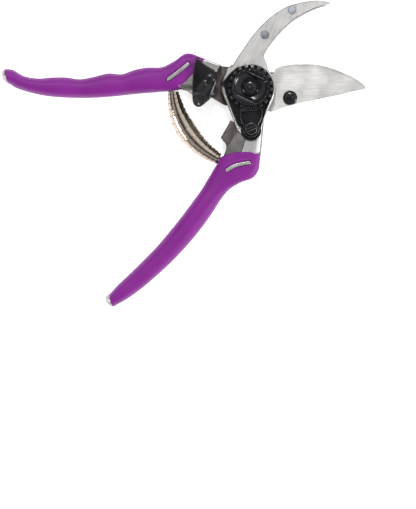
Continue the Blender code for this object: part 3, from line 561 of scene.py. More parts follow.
grain = bpy.data.node_groups.new("brushed_grain", "ShaderNodeTree")
for label, kind, value in (
    ("Turn", "NodeSocketVector", (0.0, 0.0, 0.0)),
    ("Fine", "NodeSocketVector", (52.0, 2600.0, 2600.0)),
    ("Coarse", "NodeSocketVector", (150.0, 1200.0, 1200.0)),
):
    grain.interface.new_socket(label, in_out="INPUT", socket_type=kind).default_value = value
grain.interface.new_socket("Lines", in_out="OUTPUT", socket_type="NodeSocketFloat")
grain.interface.new_socket("Cloud", in_out="OUTPUT", socket_type="NodeSocketFloat")
entry = grain.nodes.new("NodeGroupInput")
leave = grain.nodes.new("NodeGroupOutput")
where = grain.nodes.new("ShaderNodeTexCoord")
turned = grain.nodes.new("ShaderNodeMapping")
grain.links.new(where.outputs["Object"], turned.inputs["Vector"])
grain.links.new(entry.outputs["Turn"], turned.inputs["Rotation"])
streaks = []
for label in ("Fine", "Coarse"):
    squeeze = grain.nodes.new("ShaderNodeMapping")
    grain.links.new(turned.outputs["Vector"], squeeze.inputs["Vector"])
    grain.links.new(entry.outputs[label], squeeze.inputs["Scale"])
    streaks.append(noise_of(grain, squeeze.outputs["Vector"], 1.0, 4.0))
mean = grain.nodes.new("ShaderNodeMix")
mean.inputs["Factor"].default_value = 0.4
grain.links.new(streaks[0].outputs["Fac"], mean.inputs["A"])
grain.links.new(streaks[1].outputs["Fac"], mean.inputs["B"])
grain.links.new(mean.outputs["Result"], leave.inputs["Lines"])
cloud = noise_of(grain, where.outputs["Object"], 90.0, 3.0)
grain.links.new(cloud.outputs["Fac"], leave.inputs["Cloud"])


def brushed_metal(name, turn, dark, light, rough, bump=0.16, fine=2600.0, painted_shade=None):
    """Ground metal: streaks drive its colour, gloss and bump, and "mark" mixes in a darker
    painted-shade tone.
    """
    made, nodes, links, shader = node_material(name, rough, 1.0)
    lines = nodes.new("ShaderNodeGroup")
    lines.node_tree = grain
    lines.inputs["Turn"].default_value = (0.0, 0.0, -np.radians(turn))
    lines.inputs["Fine"].default_value = (fine / 50, fine, fine)
    tone = two_tone(nodes, (0.38, 0.62), (dark, light))
    links.new(lines.outputs["Lines"], tone.inputs["Fac"])
    gloss = map_range(nodes, 0.3, 0.7, rough - 0.07, rough + 0.07)
    links.new(lines.outputs["Cloud"], gloss.inputs["Value"])
    links.new(gloss.outputs["Result"], shader.inputs["Roughness"])
    roughen(nodes, links, shader, lines.outputs["Lines"], bump, 0.00006)
    colour = tone.outputs["Color"]
    # Painted shade: the darker pair of colours is blended in wherever "mark" is set.
    if painted_shade:
        mark = nodes.new("ShaderNodeAttribute")
        mark.attribute_name = "mark"
        shade_ramp = two_tone(nodes, (0.35, 0.65), painted_shade)
        links.new(lines.outputs["Cloud"], shade_ramp.inputs["Fac"])
        mixed = nodes.new("ShaderNodeMix")
        mixed.data_type = "RGBA"
        links.new(mark.outputs["Fac"], mixed.inputs["Factor"])
        links.new(colour, mixed.inputs["A"])
        links.new(shade_ramp.outputs["Color"], mixed.inputs["B"])
        colour = mixed.outputs["Result"]
    links.new(colour, shader.inputs["Base Color"])
    return made


# The second pair of colours is painted shade, brown-grey, for walls and recessed faces.
forged = brushed_metal(
    "forged_aluminium", 66.0, (0.39, 0.383, 0.378), (0.53, 0.523, 0.517), 0.38, 0.2, 2600.0,
    ((0.070, 0.060, 0.058), (0.175, 0.152, 0.146)),
)

round_left = arc(HEAD_RADIUS, 130, 174, 14)
head = np.vstack([
    curve(HOOK_OUTER), round_left, line(*HEAD_LEFT),
    curve(HEAD_RIGHT), arc(RIGHT_RADIUS, -10, 36, 10), line((10.4, 10.3)),
    curve([(9.4, 12.6), (8.6, 15.4), (7.5, 18.0)], 4)[:-1], curve(HOOK_INNER),
])
turning = len(curve(HOOK_OUTER))
right = turning + len(round_left) + len(HEAD_LEFT)
ending = right + len(curve(HEAD_RIGHT))
widths = np.ones(len(head))
widths[:turning] = np.interp(head[:turning, 0], [-5, 36, 42], [0.5, 0.5, 0.12])
widths[right - 3: right] = [1.0, 0.05, 0.05]
widths[right:ending] = np.interp(head[right:ending, 1], [-38, -20, -13, -6], [2.6, 2.4, 1.0, 0.9])
widths[ending:] = np.interp(head[ending:, 0], [36, 42], [0.3, 0.12])
widths[right] = 0.02
rivet_holes = [hole(RIVET_RADIUS + 0.03, 40, at) for at in RIVET_AT.values()]
head_profile = chamfered(FRONT_LOW, FRONT_TOP, 0.2, 1.15)
head_solid = slab(head, [hole(BOLT_HOLE, 48), *rivet_holes], head_profile, widths)
x, y, z = head_solid[0].T
# Painted shade: the walls below the chamfer, and on the hook the chamfer as well, take the dark tone;
# the hook's tip does not.
shaded_wall = np.where(y > 11.0, z < FRONT_TOP - 0.02, z < FRONT_TOP - 1.02)
head_solid[3][:] = np.where(shaded_wall & (np.hypot(x - 46, y - 48.6) > 4), 0.9, 0.0)
# Painted shade: the sloped facet on the neck's left half takes the dark tone at 0.6.
shoulder = line(
    (-2.6, -29.4), (-7.3, -24.8), (-10.5, -29.5), (-13.5, -34.0), (-14.8, -39.0), (-5.6, -38.6),
)
slope = (-0.16, -0.02, -1.0)
facet = slab(shoulder, [], chamfered(FRONT_LOW, FRONT_TOP - 0.02, 0.2, 0.3), mark=0.6, slope=slope)
neck = np.vstack([
    arc(STOP_INNER, STOP_ANGLE, 287, 16), line((6.3, -31.0), (5.4, -38.6), (-15.0, -39.2)),
    curve([(-13.6, -36.2), (-13.1, -33.5), (-13.6, -31.3), (-15.0, -29.6)], 5),
    arc(STOP_OUTER, STOP_ANGLE, STOP_ANGLE, 1),
])
# Painted shade: the lug's walls and top take the dark tone, and its chamfer takes less of it.
lug = slab(neck, [], chamfered(BACK_FACE, FRONT_LOW + 1.0, 0.6, 0.5), mark=[0.9] * 6 + [0.3, 0.3, 1.0])
tip = bare_tip(LOWER_GRIP, 3.6, -0.6)
vertices, faces, flat, marks = gather(head_solid, facet, lug, tip, rib_solid(LOWER_RIB))
forging = place("hooked_forging", vertices, faces, forged, 22, flat, marks)
settle(forging, "forged_aluminium", "hooked_handle", "lower_handle_frame")

# ---------------------------------------------------------------- counter blade and its rivets
# A thin hardened steel blade lies behind the hook and just shows along its inner edge. Two steel
# rivets, hammered flush, hold it to the forging.

# The last pair of colours is painted shade, which the blade's marks lay along its top edge.
steel = brushed_metal(
    "blade_steel", 2.0, (0.58, 0.572, 0.556), (0.73, 0.720, 0.700), 0.36, 0.14, 3200.0,
    ((0.11, 0.104, 0.10), (0.20, 0.19, 0.182)),
)
inner = curve(HOOK_INNER)[:-4] + np.array([0.45, -0.35])
outer = curve(HOOK_OUTER[1:-2]) + np.array([0.5, -0.5])
counter = np.vstack([line((45.0, 48.5)), outer, arc(13.0, 130, 385, 40), line((9.6, 14.0)), inner])
holes = [hole(BOLT_HOLE, 48)]
vertices, faces, flat, marks = slab(counter, holes, rounded(ANVIL_LOW, ANVIL_TOP, 0.15, 0.25, 3))
blade = place("counter_blade", vertices, faces, steel, 25, flat, marks)
settle(blade, "blade_steel", "hooked_handle", "anvil_blade")


def turned_solid(profile, centre, count):
    """A turned solid: a profile of (radius, height), from below up and in, spun about its axis."""
    profile = np.array(profile, float)
    turn = np.arange(count) / count * 2 * np.pi
    x = centre[0] + profile[:, :1] * np.cos(turn)
    y = centre[1] + profile[:, :1] * np.sin(turn)
    z = np.broadcast_to(profile[:, 1:], x.shape)
    return tube_solid(np.stack([x, y, z], -1))


rivet_steel = brushed_metal(
    "rivet_steel", 30.0, (0.28, 0.305, 0.35), (0.38, 0.41, 0.465), 0.40, 0.3, 1500.0,
    ((0.16, 0.18, 0.19), (0.24, 0.27, 0.28)),
)
# The rear rivet's face takes most of the darker tone, and the front one's takes little.
for name, at, face_darkening in (("rear", RIVET_AT["rear"], 0.8), ("front", RIVET_AT["front"], 0.15)):
    rings = [
        (0.4, ANVIL_LOW - 0.08, 0.5), (1.7, ANVIL_LOW - 0.06, 0.5), (1.8, ANVIL_LOW, 1.0),
        (1.8, FRONT_LOW + 0.4, 1.0), (RIVET_RADIUS, FRONT_LOW + 0.8, 1.0),
        (RIVET_RADIUS, FRONT_TOP - 0.1, 1.0), (RIVET_RADIUS - 0.08, FRONT_TOP, face_darkening),
        (1.5, FRONT_TOP + 0.03, face_darkening), (0.5, FRONT_TOP + 0.04, face_darkening),
        (0.45, FRONT_TOP + 0.1, face_darkening / 2), (0.05, FRONT_TOP + 0.1, face_darkening / 2),
    ]
    vertices, faces, flat, _ = turned_solid([ring[:2] for ring in rings], at, 48)
    marks = np.repeat([ring[2] for ring in rings], 48)
    rivet = place(f"flush_rivet_{name}", vertices, faces, rivet_steel, 30, flat, marks)
    settle(rivet, "rivet_steel", "hooked_handle", f"hook_rivet_{name}")

# ---------------------------------------------------------------- forging of the blade handle
# The second forging: a thin plate under the blade, a thick neck whose ground top carries the
# latch, a lower ledge that backs the rubber buffer, the core inside the grip and the bare tip.

BOLT_HEAD_RADIUS = 8.0
BLADE_SCREW_AT = (23.0, -5.4)
BLADE_SCREW_HOLE = 2.7
CLOSING_ANGLE = 46.0
BUMPER_GAP = 0.3
BUMPER_THICKNESS = 2.8
LEDGE_TOP = 11.0
STOP_MIDDLE = (STOP_INNER + STOP_OUTER) / 2
BUMPER_FACE = STOP_ANGLE - CLOSING_ANGLE - np.degrees(BUMPER_GAP / STOP_MIDDLE)
BUMPER_BACK = BUMPER_FACE - np.degrees(BUMPER_THICKNESS / STOP_MIDDLE)

back = np.vstack([
    line((-26.0, 16.7), (-26.0, 8.0), (-34.0, 3.0), (-41.9, -0.4), (-30.0, 0.4)),
    line((-22.9, -4.5), (-15.0, -9.3)), arc(15.0, 222, 300, 14),
    line((12.0, -12.5), (26.0, -8.2), (29.0, -4.0), (27.0, 2.5), (20.0, 9.0)),
    arc(13.0, 50, 110, 12), line((-11.0, 12.6), (-17.5, 13.2)),
])
back_profile = [(0.5, BACK_FACE), (0.0, BACK_FACE + 0.5), (0.0, BACK_TOP - 0.3), (0.3, BACK_TOP)]
back_holes = [hole(BOLT_HEAD_RADIUS + 0.3, 64), hole(BLADE_SCREW_HOLE, 32, BLADE_SCREW_AT)]
# Painted shade: the back plate takes the dark tone all over.
back_solid = slab(back, back_holes, back_profile, mark=1.0)
block = np.vstack([
    line((-17.6, 13.4), (-26.0, 16.7), (-27.5, 15.6), (-41.9, 0.4), (-41.5, 0.3), (-30.0, 1.4)),
    line((-22.9, -3.9)), arc(21.0, 190, 142, 22),
])
neck_profile = chamfered(BACK_FACE + 0.4, FRONT_TOP, 0.5, 0.95)
# Painted shade: the neck's walls take the dark tone, and its top takes half of it.
neck_solid = slab(block, [], neck_profile, mark=[0.9] * 6 + [0.0, 0.0, 0.5])
ledge = np.vstack([
    line((-22.6, 1.0), (-40.4, 1.9), (-38.9, -0.8), (-36.5, -1.0)),
    line((-35.2, -2.0), (-33.5, -3.4), (-32.0, -5.2)),
    arc(STOP_OUTER, BUMPER_BACK, BUMPER_BACK, 1), arc(STOP_INNER + 0.5, BUMPER_BACK, BUMPER_BACK, 1),
])
ledge_profile = chamfered(BACK_FACE + 0.8, LEDGE_TOP, 0.5, 0.5)
# Painted shade: the ledge's walls take the dark tone, and its top takes a little of it.
ledge_solid = slab(ledge, [], ledge_profile, mark=[0.9] * 6 + [0.0, 0.0, 0.1])
vertices, faces, flat, marks = gather(
    back_solid, neck_solid, ledge_solid, bare_tip(UPPER_GRIP, 3.0, 0.5), rib_solid(UPPER_RIB)
)
forging = place("blade_handle_forging", vertices, faces, forged, 22, flat, marks)
settle(forging, "forged_aluminium", "blade_handle", "upper_handle_frame")

# ---------------------------------------------------------------- cutting blade
# The bypass blade is stamped from hardened steel and ground flat along its length. Its long bevel is
# on the underside, with a fine rubbed edge on top. The pivot bolt and one screw hold it.

BLADE_EDGE = [
    (14.5, 11.3), (17.0, 12.5), (20.0, 13.3), (24.0, 13.9), (30.0, 14.2), (36.0, 14.0), (42.0, 13.0),
    (48.0, 11.3), (54.0, 8.9), (60.0, 6.0), (64.0, 3.4), (66.3, 1.6), (66.8, 0.8), (66.4, 0.0),
]
BLADE_SPINE = [
    (65.2, -0.5), (60.0, -1.6), (50.0, -4.0), (40.0, -6.0), (30.0, -8.0), (20.0, -10.6), (12.0, -13.5),
]
sharp_edge = curve(BLADE_EDGE)[::-1]
round_end = arc(13.0, 45, 300, 48)
outline = np.vstack([
    round_end, line(*BLADE_SPINE[::-1]), sharp_edge,
    curve([(14.0, 9.8), (13.0, 8.4), (11.5, 8.2), (10.4, 9.0)], 4),
])
widths = np.full(len(outline), 0.1)
start = len(round_end) + len(BLADE_SPINE)
bevel_at = [14.6, 17, 21, 50, 60, 64, 66.3]
bevel_share = [0.1, 0.4, 0.8, 0.8, 0.6, 0.4, 0.15]
widths[start: start + len(sharp_edge)] = np.interp(sharp_edge[:, 0], bevel_at, bevel_share)
profile = [(3.2, BLADE_LOW), (3.1, BLADE_LOW), (0.08, BLADE_TOP - 0.35), (0.0, BLADE_TOP - 0.22)]
profile += [(0.18, BLADE_TOP - 0.06), (0.45, BLADE_TOP - 0.005), (0.7, BLADE_TOP), (2.6, BLADE_TOP)]
shadow = [0.0, 0.0, 0.95, 0.95, 0.9, 0.7, 0.4, 0.0]
holes = [hole(BOLT_HOLE, 48), hole(BLADE_SCREW_HOLE, 32, BLADE_SCREW_AT)]
vertices, faces, flat, marks = slab(outline, holes, profile, widths, shadow)
blade = place("bypass_blade", vertices, faces, steel, 60, flat, marks)
settle(blade, "blade_steel", "blade_handle", "cutting_blade")

# ---------------------------------------------------------------- black screws
# The screw through the blade is blackened steel, with a low domed head and a cross recess for its
# driver. The same blackened steel serves the bolt, plate, nut, segment and latch below.

black, nodes, links, shader = node_material("blackened_steel", 0.2, 0.0, 0.34)
lines = nodes.new("ShaderNodeGroup")
lines.node_tree = grain
tone = two_tone(nodes, (0.3, 0.75), ((0.005, 0.005, 0.006), (0.011, 0.010, 0.013)))
links.new(lines.outputs["Cloud"], tone.inputs["Fac"])
# Painted highlights: where "mark" is set, streaks of light metallic grey stand in for bright edge
# reflections.
mark = nodes.new("ShaderNodeAttribute")
mark.attribute_name = "mark"
glint_streaks = map_range(nodes, 0.38, 0.62, 0.0, 1.0)
links.new(lines.outputs["Lines"], glint_streaks.inputs["Value"])
painted_glint = nodes.new("ShaderNodeMath")
painted_glint.operation = "MULTIPLY"
links.new(mark.outputs["Fac"], painted_glint.inputs[0])
links.new(glint_streaks.outputs["Result"], painted_glint.inputs[1])
mixed = nodes.new("ShaderNodeMix")
mixed.data_type = "RGBA"
mixed.inputs["B"].default_value = (0.42, 0.42, 0.44, 1)
links.new(painted_glint.outputs["Value"], mixed.inputs["Factor"])
links.new(tone.outputs["Color"], mixed.inputs["A"])
links.new(mixed.outputs["Result"], shader.inputs["Base Color"])
links.new(painted_glint.outputs["Value"], shader.inputs["Metallic"])
gloss = map_range(nodes, 0.3, 0.7, 0.13, 0.24)
links.new(lines.outputs["Cloud"], gloss.inputs["Value"])
links.new(gloss.outputs["Result"], shader.inputs["Roughness"])
where = nodes.new("ShaderNodeTexCoord")
orange_peel = noise_of(black.node_tree, where.outputs["Object"], 900.0, 3.0)
roughen(nodes, links, shader, orange_peel.outputs["Fac"], 0.10, 0.0002)

SCREW_SHANK = 2.4
SCREW_HEAD = 4.1
HEAD_BASE = 9.5
HEAD_RISE = 1.3
CROSS_TURN = 38
CROSS_DEPTH = 0.9
ARM_END = (2.0, 2.5)
ARM_SIDE = (0.42, 0.62)
# The dome is (cos, sin) of the rim angle, sunk where either arm of the cross lies.
rim = np.radians(np.linspace(0, 90, 30))[:, None]
turn = np.arange(128) / 128 * 2 * np.pi
dome = SCREW_HEAD * np.cos(rim) + 0.02
radius = np.vstack([np.full((2, 1), SCREW_SHANK), np.full((2, 1), SCREW_HEAD), dome])
level = np.vstack([[[1.2]], [[8.8]], [[8.8]], [[9.4]], HEAD_BASE + HEAD_RISE * np.sin(rim)])
x = radius * np.cos(turn)
y = radius * np.sin(turn)
first = np.radians(CROSS_TURN)
u = np.abs(x * np.cos(first) + y * np.sin(first))
v = np.abs(-x * np.sin(first) + y * np.cos(first))
recess = (1 - ease(*ARM_END, u)) * (1 - ease(*ARM_SIDE, v))
recess = recess + (1 - ease(*ARM_END, v)) * (1 - ease(*ARM_SIDE, u))
z = level - np.where(level > HEAD_BASE - 0.05, 1.0, 0.0) * CROSS_DEPTH * np.clip(recess, 0, 1)
grid = np.stack([x + BLADE_SCREW_AT[0], y + BLADE_SCREW_AT[1], z], -1)
vertices, faces, flat, marks = tube_solid(grid)
screw = place("blade_cross_screw", vertices, faces, black, 50, flat, marks)
settle(screw, "black_steel", "blade_handle", "blade_screw")

# ---------------------------------------------------------------- rubber buffer
# A black rubber pad between the handles softens the last of the closing stroke. It is moulded with
# round ends and pressed into the ledge of the blade handle.

BUMPER_RADII = (22.6, 32.0)
BUMPER_ROUND = 1.35
BUMPER_LOW = 1.5


def turned_by(loop, angle, at=(0.0, 0.0)):
    """A loop turned about the origin by an angle in degrees, and then moved by at."""
    cos = np.cos(np.radians(angle))
    sin = np.sin(np.radians(angle))
    return loop @ np.array([[cos, sin], [-sin, cos]]) + np.array(at)


half_long = (BUMPER_RADII[1] - BUMPER_RADII[0]) / 2 - BUMPER_ROUND
pad_outline = np.vstack([
    arc(BUMPER_ROUND, -90, 90, 12, (half_long, 0)), arc(BUMPER_ROUND, 90, 270, 12, (-half_long, 0)),
])
pad_outline[:, 0] += np.mean(BUMPER_RADII)
pad_outline = turned_by(pad_outline, (BUMPER_FACE + BUMPER_BACK) / 2)
rubber, nodes, links, shader = node_material("black_rubber", 0.5, 0.0, 0.4)
where = nodes.new("ShaderNodeTexCoord")
dust = noise_of(rubber.node_tree, where.outputs["Object"], 700.0, 4.0)
tone = two_tone(nodes, (0.35, 0.75), ((0.009, 0.009, 0.010), (0.022, 0.021, 0.022)))
links.new(dust.outputs["Fac"], tone.inputs["Fac"])
links.new(tone.outputs["Color"], shader.inputs["Base Color"])
roughen(nodes, links, shader, dust.outputs["Fac"], 0.3, 0.0001)
vertices, faces, flat, marks = slab(pad_outline, [], rounded(BUMPER_LOW, LEDGE_TOP, 0.5, 1.0))
pad = place("rubber_buffer", vertices, faces, rubber, 40, (), marks)
settle(pad, "black_rubber", "blade_handle", "rubber_bumper")

# ---------------------------------------------------------------- pivot bolt
# The shears turn on one blackened steel bolt. Its low head lies in a recess at the back, and its
# threaded end comes through the nut with a turned groove round a small dome.

profile = [
    (7.4, 0.0), (7.8, 0.15), (8.0, 0.5), (8.0, 2.1), (7.9, 2.2), (4.85, 2.2), (4.8, 2.4), (4.8, 21.15),
    (4.72, 21.4), (4.5, 21.55), (4.2, 21.55), (4.0, 21.4), (3.85, 21.2), (3.7, 21.2), (3.55, 21.45),
    (3.3, 21.8), (2.8, 22.0), (2.2, 22.12), (1.5, 22.18), (1.0, 22.18), (0.75, 22.0), (0.4, 21.9),
    (0.05, 21.88),
]
vertices, faces, flat, marks = turned_solid(profile, (0, 0), 96)
bolt = place("centre_bolt", vertices, faces, black, 30, flat, marks)
settle(bolt, "black_steel", "hooked_handle", "pivot_bolt")

# ---------------------------------------------------------------- lock plate
# A keyhole-shaped plate under the nut, pressed from steel with a raised lip and blackened. Its
# beak at the left is what the latch hooks under, and the segment's screw holds its tail.

SEGMENT_SCREW_AT = (0.4, -23.9)
PLATE_TAIL_AT = (0.4, -24.6)
PLATE_BEAK = [(-7.0, 12.2), (-12.0, 8.0), (-14.6, 4.6), (-16.5, 2.4), (-16.7, 1.0)]
PLATE_LEFT = [(-15.0, 0.2), (-14.3, -3.0), (-13.6, -5.5), (-11.9, -10.0), (-10.0, -15.0), (-7.6, -21.0)]
PLATE_RIGHT = [(6.6, -21.0), (8.0, -17.0), (9.6, -12.4), (12.4, -5.6)]
outline = np.vstack([
    arc(13.4, -22, 117, 44), curve(PLATE_BEAK, 5), curve(PLATE_LEFT, 5),
    arc(5.9, 165, 375, 28, PLATE_TAIL_AT), curve(PLATE_RIGHT, 5)[:-1],
])
profile = [
    (0.25, 16.4), (0.0, 16.6), (0.0, 17.25), (0.12, 17.5), (0.35, 17.6), (0.65, 17.6), (0.9, 17.48),
    (1.15, 17.2),
]
vertices, faces, flat, marks = slab(outline, [hole(BOLT_HOLE, 48)], profile)
plate = place("keyhole_lock_plate", vertices, faces, black, 40, flat, marks)
settle(plate, "black_steel", "hooked_handle", "lock_plate")

# ---------------------------------------------------------------- adjusting nut
# The nut sets how tightly the blades run. Twenty rounded notches are cut round its rim, and its
# face is dished, with two flats that a spanner takes.

NUT_RADIUS = 12.6
TEETH = 20
NOTCH_DEPTH = 2.2
FLAT_AT = 64.5
DISH_RADIUS = 9.7
FLAT_DISTANCE = 7.3
DISH_BLEND = 3
NOTCH_PHASE = 0.16
HUB_RADIUS = 5.3
OUTER_RINGS = 6


def tooth_phase(turns):
    """Where a turn stands in its tooth: 0 at the middle of a notch, 0.5 or -0.5 on a tooth."""
    return (turns * TEETH - NOTCH_PHASE + 0.5) % 1 - 0.5


# The rim is R - d(1 - ease|phase|). The dish is the soft least of a circle a and two flats b,
# -ln(e^(-3a) + e^(-3b)) / 3, carried down to the hub in rings.
turn = np.linspace(0, 2 * np.pi, TEETH * 18, endpoint=False)
rim = NUT_RADIUS - NOTCH_DEPTH * (1 - ease(0.10, 0.30, np.abs(tooth_phase(turn / (2 * np.pi)))))
toward = np.abs(np.cos(turn - np.radians(FLAT_AT)))
across_flats = FLAT_DISTANCE / np.maximum(toward, 0.2)
dish = -np.log(np.exp(-DISH_BLEND * DISH_RADIUS) + np.exp(-DISH_BLEND * across_flats)) / DISH_BLEND
bore = np.ones(len(turn))
rings = [
    (rim - 0.15, 17.9), (rim, 18.05), (rim, 20.9), (rim - 0.12, 21.22), (rim - 0.22, 21.34),
    (rim - 0.36, 21.4), (dish + 0.25, 21.4), (dish + 0.1, 21.36), (dish - 0.1, 21.2),
    (dish - 0.35, 20.9), (dish - 0.7, 20.55), (dish * 0.55 + HUB_RADIUS * 0.45 - 0.3, 20.05),
    (dish * 0.25 + HUB_RADIUS * 0.75, 19.75), (bore * 5.5, 19.7), (bore * 5.15, 19.6),
    (bore * BOLT_HOLE, 19.3), (bore * BOLT_HOLE, 18.0), (bore * 5.2, 17.9),
]
radius = np.stack([r for r, _ in rings])
level = np.repeat(np.array([z for _, z in rings])[:, None], len(turn), 1)
grid = np.stack([radius * np.cos(turn), radius * np.sin(turn), level], -1)
# Painted highlights: on the rim's top edge, and on the dish's edge near the flats.
painted_glint_rings = np.array([0, 0, 0, 0.5, 0.9, 0, 0, 0.9, 0.5, 0, 0, 0, 0, 0, 0, 0, 0, 0])
near_flat = ease(0.75, 0.95, toward)
on_rim = np.arange(len(rings))[:, None] < OUTER_RINGS
marks = painted_glint_rings[:, None] * np.where(on_rim, 0.5, near_flat[None, :])
faces = band_faces(len(rings), len(turn), True)
nut = place("adjusting_nut", grid.reshape(-1, 3), faces, black, 40, (), marks.ravel())
settle(nut, "black_steel", "hooked_handle", "adjusting_nut")

# ---------------------------------------------------------------- toothed segment and its screw
# A small black segment stops the nut from turning: its teeth stand in the nut's notches. A slotted
# six-sided screw clamps it and the plate to the forging.

SEGMENT_REACH = 13.15
TOOTH_HEIGHT = 1.75
TOOTHED = (250, 293)
SLOT_TURN = 25
HEXAGON_RADIUS = 3.9
CROWN_RADIUS = 3.45
# The inner edge is an arc round the nut's axis that reaches further in where the nut has a notch.
angles = np.linspace(246, 297, 120)
between = (angles > TOOTHED[0]) & (angles < TOOTHED[1])
gullet = ease(0.05, 0.17, np.abs(tooth_phase(angles / 360)))
reach = SEGMENT_REACH - TOOTH_HEIGHT * (1 - gullet) * between
teeth = np.stack([reach * np.cos(np.radians(angles)), reach * np.sin(np.radians(angles))], 1)
outline = np.vstack([
    arc(4.8, -210, 30, 30, SEGMENT_SCREW_AT), line((5.3, -20.4), (6.6, -17.6), (6.9, -13.4)),
    teeth[::-1], line((-6.0, -14.2), (-5.7, -17.6), (-5.0, -20.6)),
])
# Painted highlights along the segment's upper rounded edge.
painted_edge_glints = [0, 0, 0, 0, 0, 0.1, 0.28, 0]
vertices, faces, flat, marks = slab(outline, [], rounded(17.9, 20.1, 0.2, 0.35, 4), mark=painted_edge_glints)
segment = place("toothed_segment", vertices, faces, black, 40, flat, marks)
settle(segment, "black_steel", "hooked_handle", "toothed_segment")

corner = arc(HEXAGON_RADIUS, 0, 300, 6)
step = np.roll(corner, -1, 0) - corner
hexagon = np.vstack([corner[i] + step[i] * share for i in range(6) for share in (0.06, 0.94)])
hexagon = turned_by(hexagon, SLOT_TURN, SEGMENT_SCREW_AT)
base = slab(hexagon, [], [(0.0, 20.15), (0.0, 21.1), (0.3, 21.35)], mark=[0, 0.3, 0])
# Painted highlights along the crown halves' upper rounded edge.
painted_edge_glints = [0, 0, 0, 0, 0, 0, 0.1, 0.2, 0.3, 0]
halves = []
for start in (8, 188):
    crown = turned_by(arc(CROWN_RADIUS, start, start + 164, 24), SLOT_TURN, SEGMENT_SCREW_AT)
    halves.append(slab(crown, [], rounded(21.2, 22.0, 0.05, 0.4, 5), mark=painted_edge_glints))
vertices, faces, flat, marks = gather(base, *halves)
screw = place("segment_slot_screw", vertices, faces, black, 40, flat, marks)
settle(screw, "black_steel", "hooked_handle", "segment_screw")

# ---------------------------------------------------------------- thumb latch, its screw and washer
# The latch is pressed from steel and blackened: a leaf with a rolled edge, a ridge that stiffens
# it, and a dished thumb rest. It turns on a domed screw over a spring washer.

LATCH_AT = (-23.2, 5.2)
LATCH_CENTRE = np.array([-27.3, 2.5])
THUMB = np.array([-29.6, -7.2])
LATCH_OUTLINE = [
    (-30.5, 17.1), (-31.9, 14.2), (-32.8, 9.0), (-33.2, 2.0), (-33.3, -5.0), (-32.9, -8.6),
    (-31.6, -10.5), (-29.7, -11.2), (-27.9, -10.6), (-25.4, -8.6), (-23.2, -6.5), (-22.3, -4.0),
    (-21.0, -0.8), (-19.6, 2.8), (-19.0, 5.6), (-19.3, 7.8), (-20.6, 9.7), (-23.4, 11.4),
    (-26.4, 13.4), (-29.0, 16.0),
]
LATCH_LOW = 17.95
LATCH_FACE = 19.3
LATCH_TOP = 20.95
RIDGE_HEIGHT = 0.9
REST_HEIGHT = 1.5
DIMPLE_DEPTH = 0.9
ROLL_DEPTH = 0.5
# The top is level, plus a ridge exp(-(d/2)^2) and an eased thumb rest, less a dimple
# exp(-(d/1.9)^2) in the rest and an eased roll along the edge.
closed = np.array(LATCH_OUTLINE + LATCH_OUTLINE[:3])
loop = through(closed, np.linspace(1, len(LATCH_OUTLINE) + 1, 241)[:-1])
spread = np.concatenate([np.linspace(0.02, 0.9, 34), [0.94, 0.97, 0.99, 1.0]])[::-1, None]
x = LATCH_CENTRE[0] + (loop[:, 0] - LATCH_CENTRE[0]) * spread
y = LATCH_CENTRE[1] + (loop[:, 1] - LATCH_CENTRE[1]) * spread
edge = (1 - spread) * np.linalg.norm(loop - LATCH_CENTRE, axis=1)
ridge = distance_to(line((-25.5, 1.0), (-28.0, -2.0)), x, y)
thumb = np.hypot(x - THUMB[0], y - THUMB[1])
rest = (1 - ease(3.1, 5.2, thumb)) * ease(-2.0, -4.5, y)
top = LATCH_FACE + RIDGE_HEIGHT * np.exp(-((ridge / 2.0) ** 2)) + REST_HEIGHT * rest
top = top - DIMPLE_DEPTH * np.exp(-((thumb / 1.9) ** 2)) - ROLL_DEPTH * (1 - ease(0.0, 0.8, edge))
top = np.minimum(top, LATCH_TOP)
bottom = np.stack([loop[:, 0], loop[:, 1], np.full(len(loop), LATCH_LOW)], -1)
grid = np.concatenate([bottom[None], np.stack([x, y, top], -1)])
vertices, faces, flat, marks = tube_solid(grid)
latch = place("pressed_thumb_latch", vertices, faces, black, 50, flat, marks)
settle(latch, "black_steel", "latch", "thumb_latch")

profile = [(1.7, 8.2), (1.7, 19.4), (2.9, 19.5), (3.0, 19.7), (3.0, 19.9)]
profile += [(3.0 * np.cos(a), 19.95 + 1.05 * np.sin(a)) for a in np.linspace(0.1, 1.5, 12)]
vertices, faces, flat, marks = turned_solid(profile, LATCH_AT, 64)
screw = place("latch_pivot_screw", vertices, faces, black, 40, flat, marks)
settle(screw, "black_steel", "blade_handle", "latch_screw")
profile = [(2.2, 16.4), (3.5, 16.4), (3.6, 16.5), (3.6, 16.8), (3.5, 16.9), (2.2, 16.9)]
vertices, faces, flat, marks = turned_solid(profile, LATCH_AT, 48)
washer = place("latch_spring_washer", vertices, faces, rivet_steel, 30, flat, marks)
settle(washer, "rivet_steel", "blade_handle", "latch_washer")

# ---------------------------------------------------------------- double volute spring
# A nickel-plated strip is wound into two cones that meet at their wide ends. Each turn slides
# inside the next, and the small ends slip over pegs on the two handles.

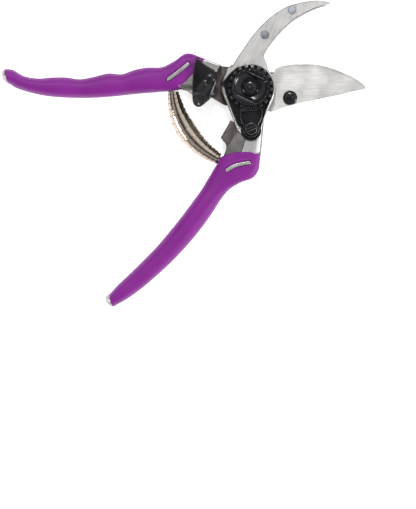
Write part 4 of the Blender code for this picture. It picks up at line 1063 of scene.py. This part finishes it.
SPRING_RADIUS = 44.4
SPRING_ENDS = (181.3, 247.6)
TURNS = 7
STEPS = 96
STRIP_WIDTH = 6.4
STRIP_TAPER = 0.25
STRIP_THICKNESS = 0.32
COIL_RADIUS = 6.2
COIL_TAPER = 0.45
END_MARGIN = 2.8
SAG = 0.5
# At turn u from the middle, with f = |u| / turns, the strip has travelled (1.5 f - 0.5 f^2) of half
# the length, and its radius and width fall by a fixed step for each turn. The axis bends to an arc.
u = np.linspace(-TURNS, TURNS, 2 * TURNS * STEPS + 1)
half_length = np.radians(SPRING_ENDS[1] - SPRING_ENDS[0]) * SPRING_RADIUS / 2
strip = np.where(np.abs(u) < 1, STRIP_WIDTH, STRIP_WIDTH - (np.abs(u) - 1) * STRIP_TAPER)
far = np.abs(u) / TURNS
travel = np.sign(u) * (half_length - END_MARGIN) * (1.5 * far - 0.5 * far**2)
size = COIL_RADIUS - COIL_TAPER * np.abs(u)
section_s = np.array([-0.5, -0.46, 0.46, 0.5, 0.46, -0.46])
section_r = np.array([-0.5, 0.0, 0.0, -0.5, -1.0, -1.0])
axial = travel[:, None] + strip[:, None] * section_s
radial = size[:, None] + STRIP_THICKNESS * section_r
middle = np.radians(np.mean(SPRING_ENDS))
bend = middle + axial / SPRING_RADIUS
turn = (u * 2 * np.pi)[:, None]
across = SPRING_RADIUS - SAG * (1 - far[:, None] ** 2) + radial * np.cos(turn)
rise = GRIP_MIDDLE + radial * np.sin(turn)
grid = np.stack([across * np.cos(bend), across * np.sin(bend), rise], -1)
vertices, faces, flat, _ = tube_solid(grid)
# Painted shade: the strip's two edges take the dark tone, drawing dark lines between the turns.
marks = np.tile([1.0, 0.0, 0.0, 1.0, 0.0, 0.0], len(u))
nickel = brushed_metal(
    "spring_nickel", 40.0, (0.42, 0.355, 0.295), (0.54, 0.465, 0.395), 0.15, 0.05, 1200.0,
    ((0.03, 0.024, 0.020), (0.10, 0.08, 0.065)),
)
spring = place("double_volute_spring", vertices, faces, nickel, 30, flat, marks)
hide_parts("volute_spring")
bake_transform(spring)
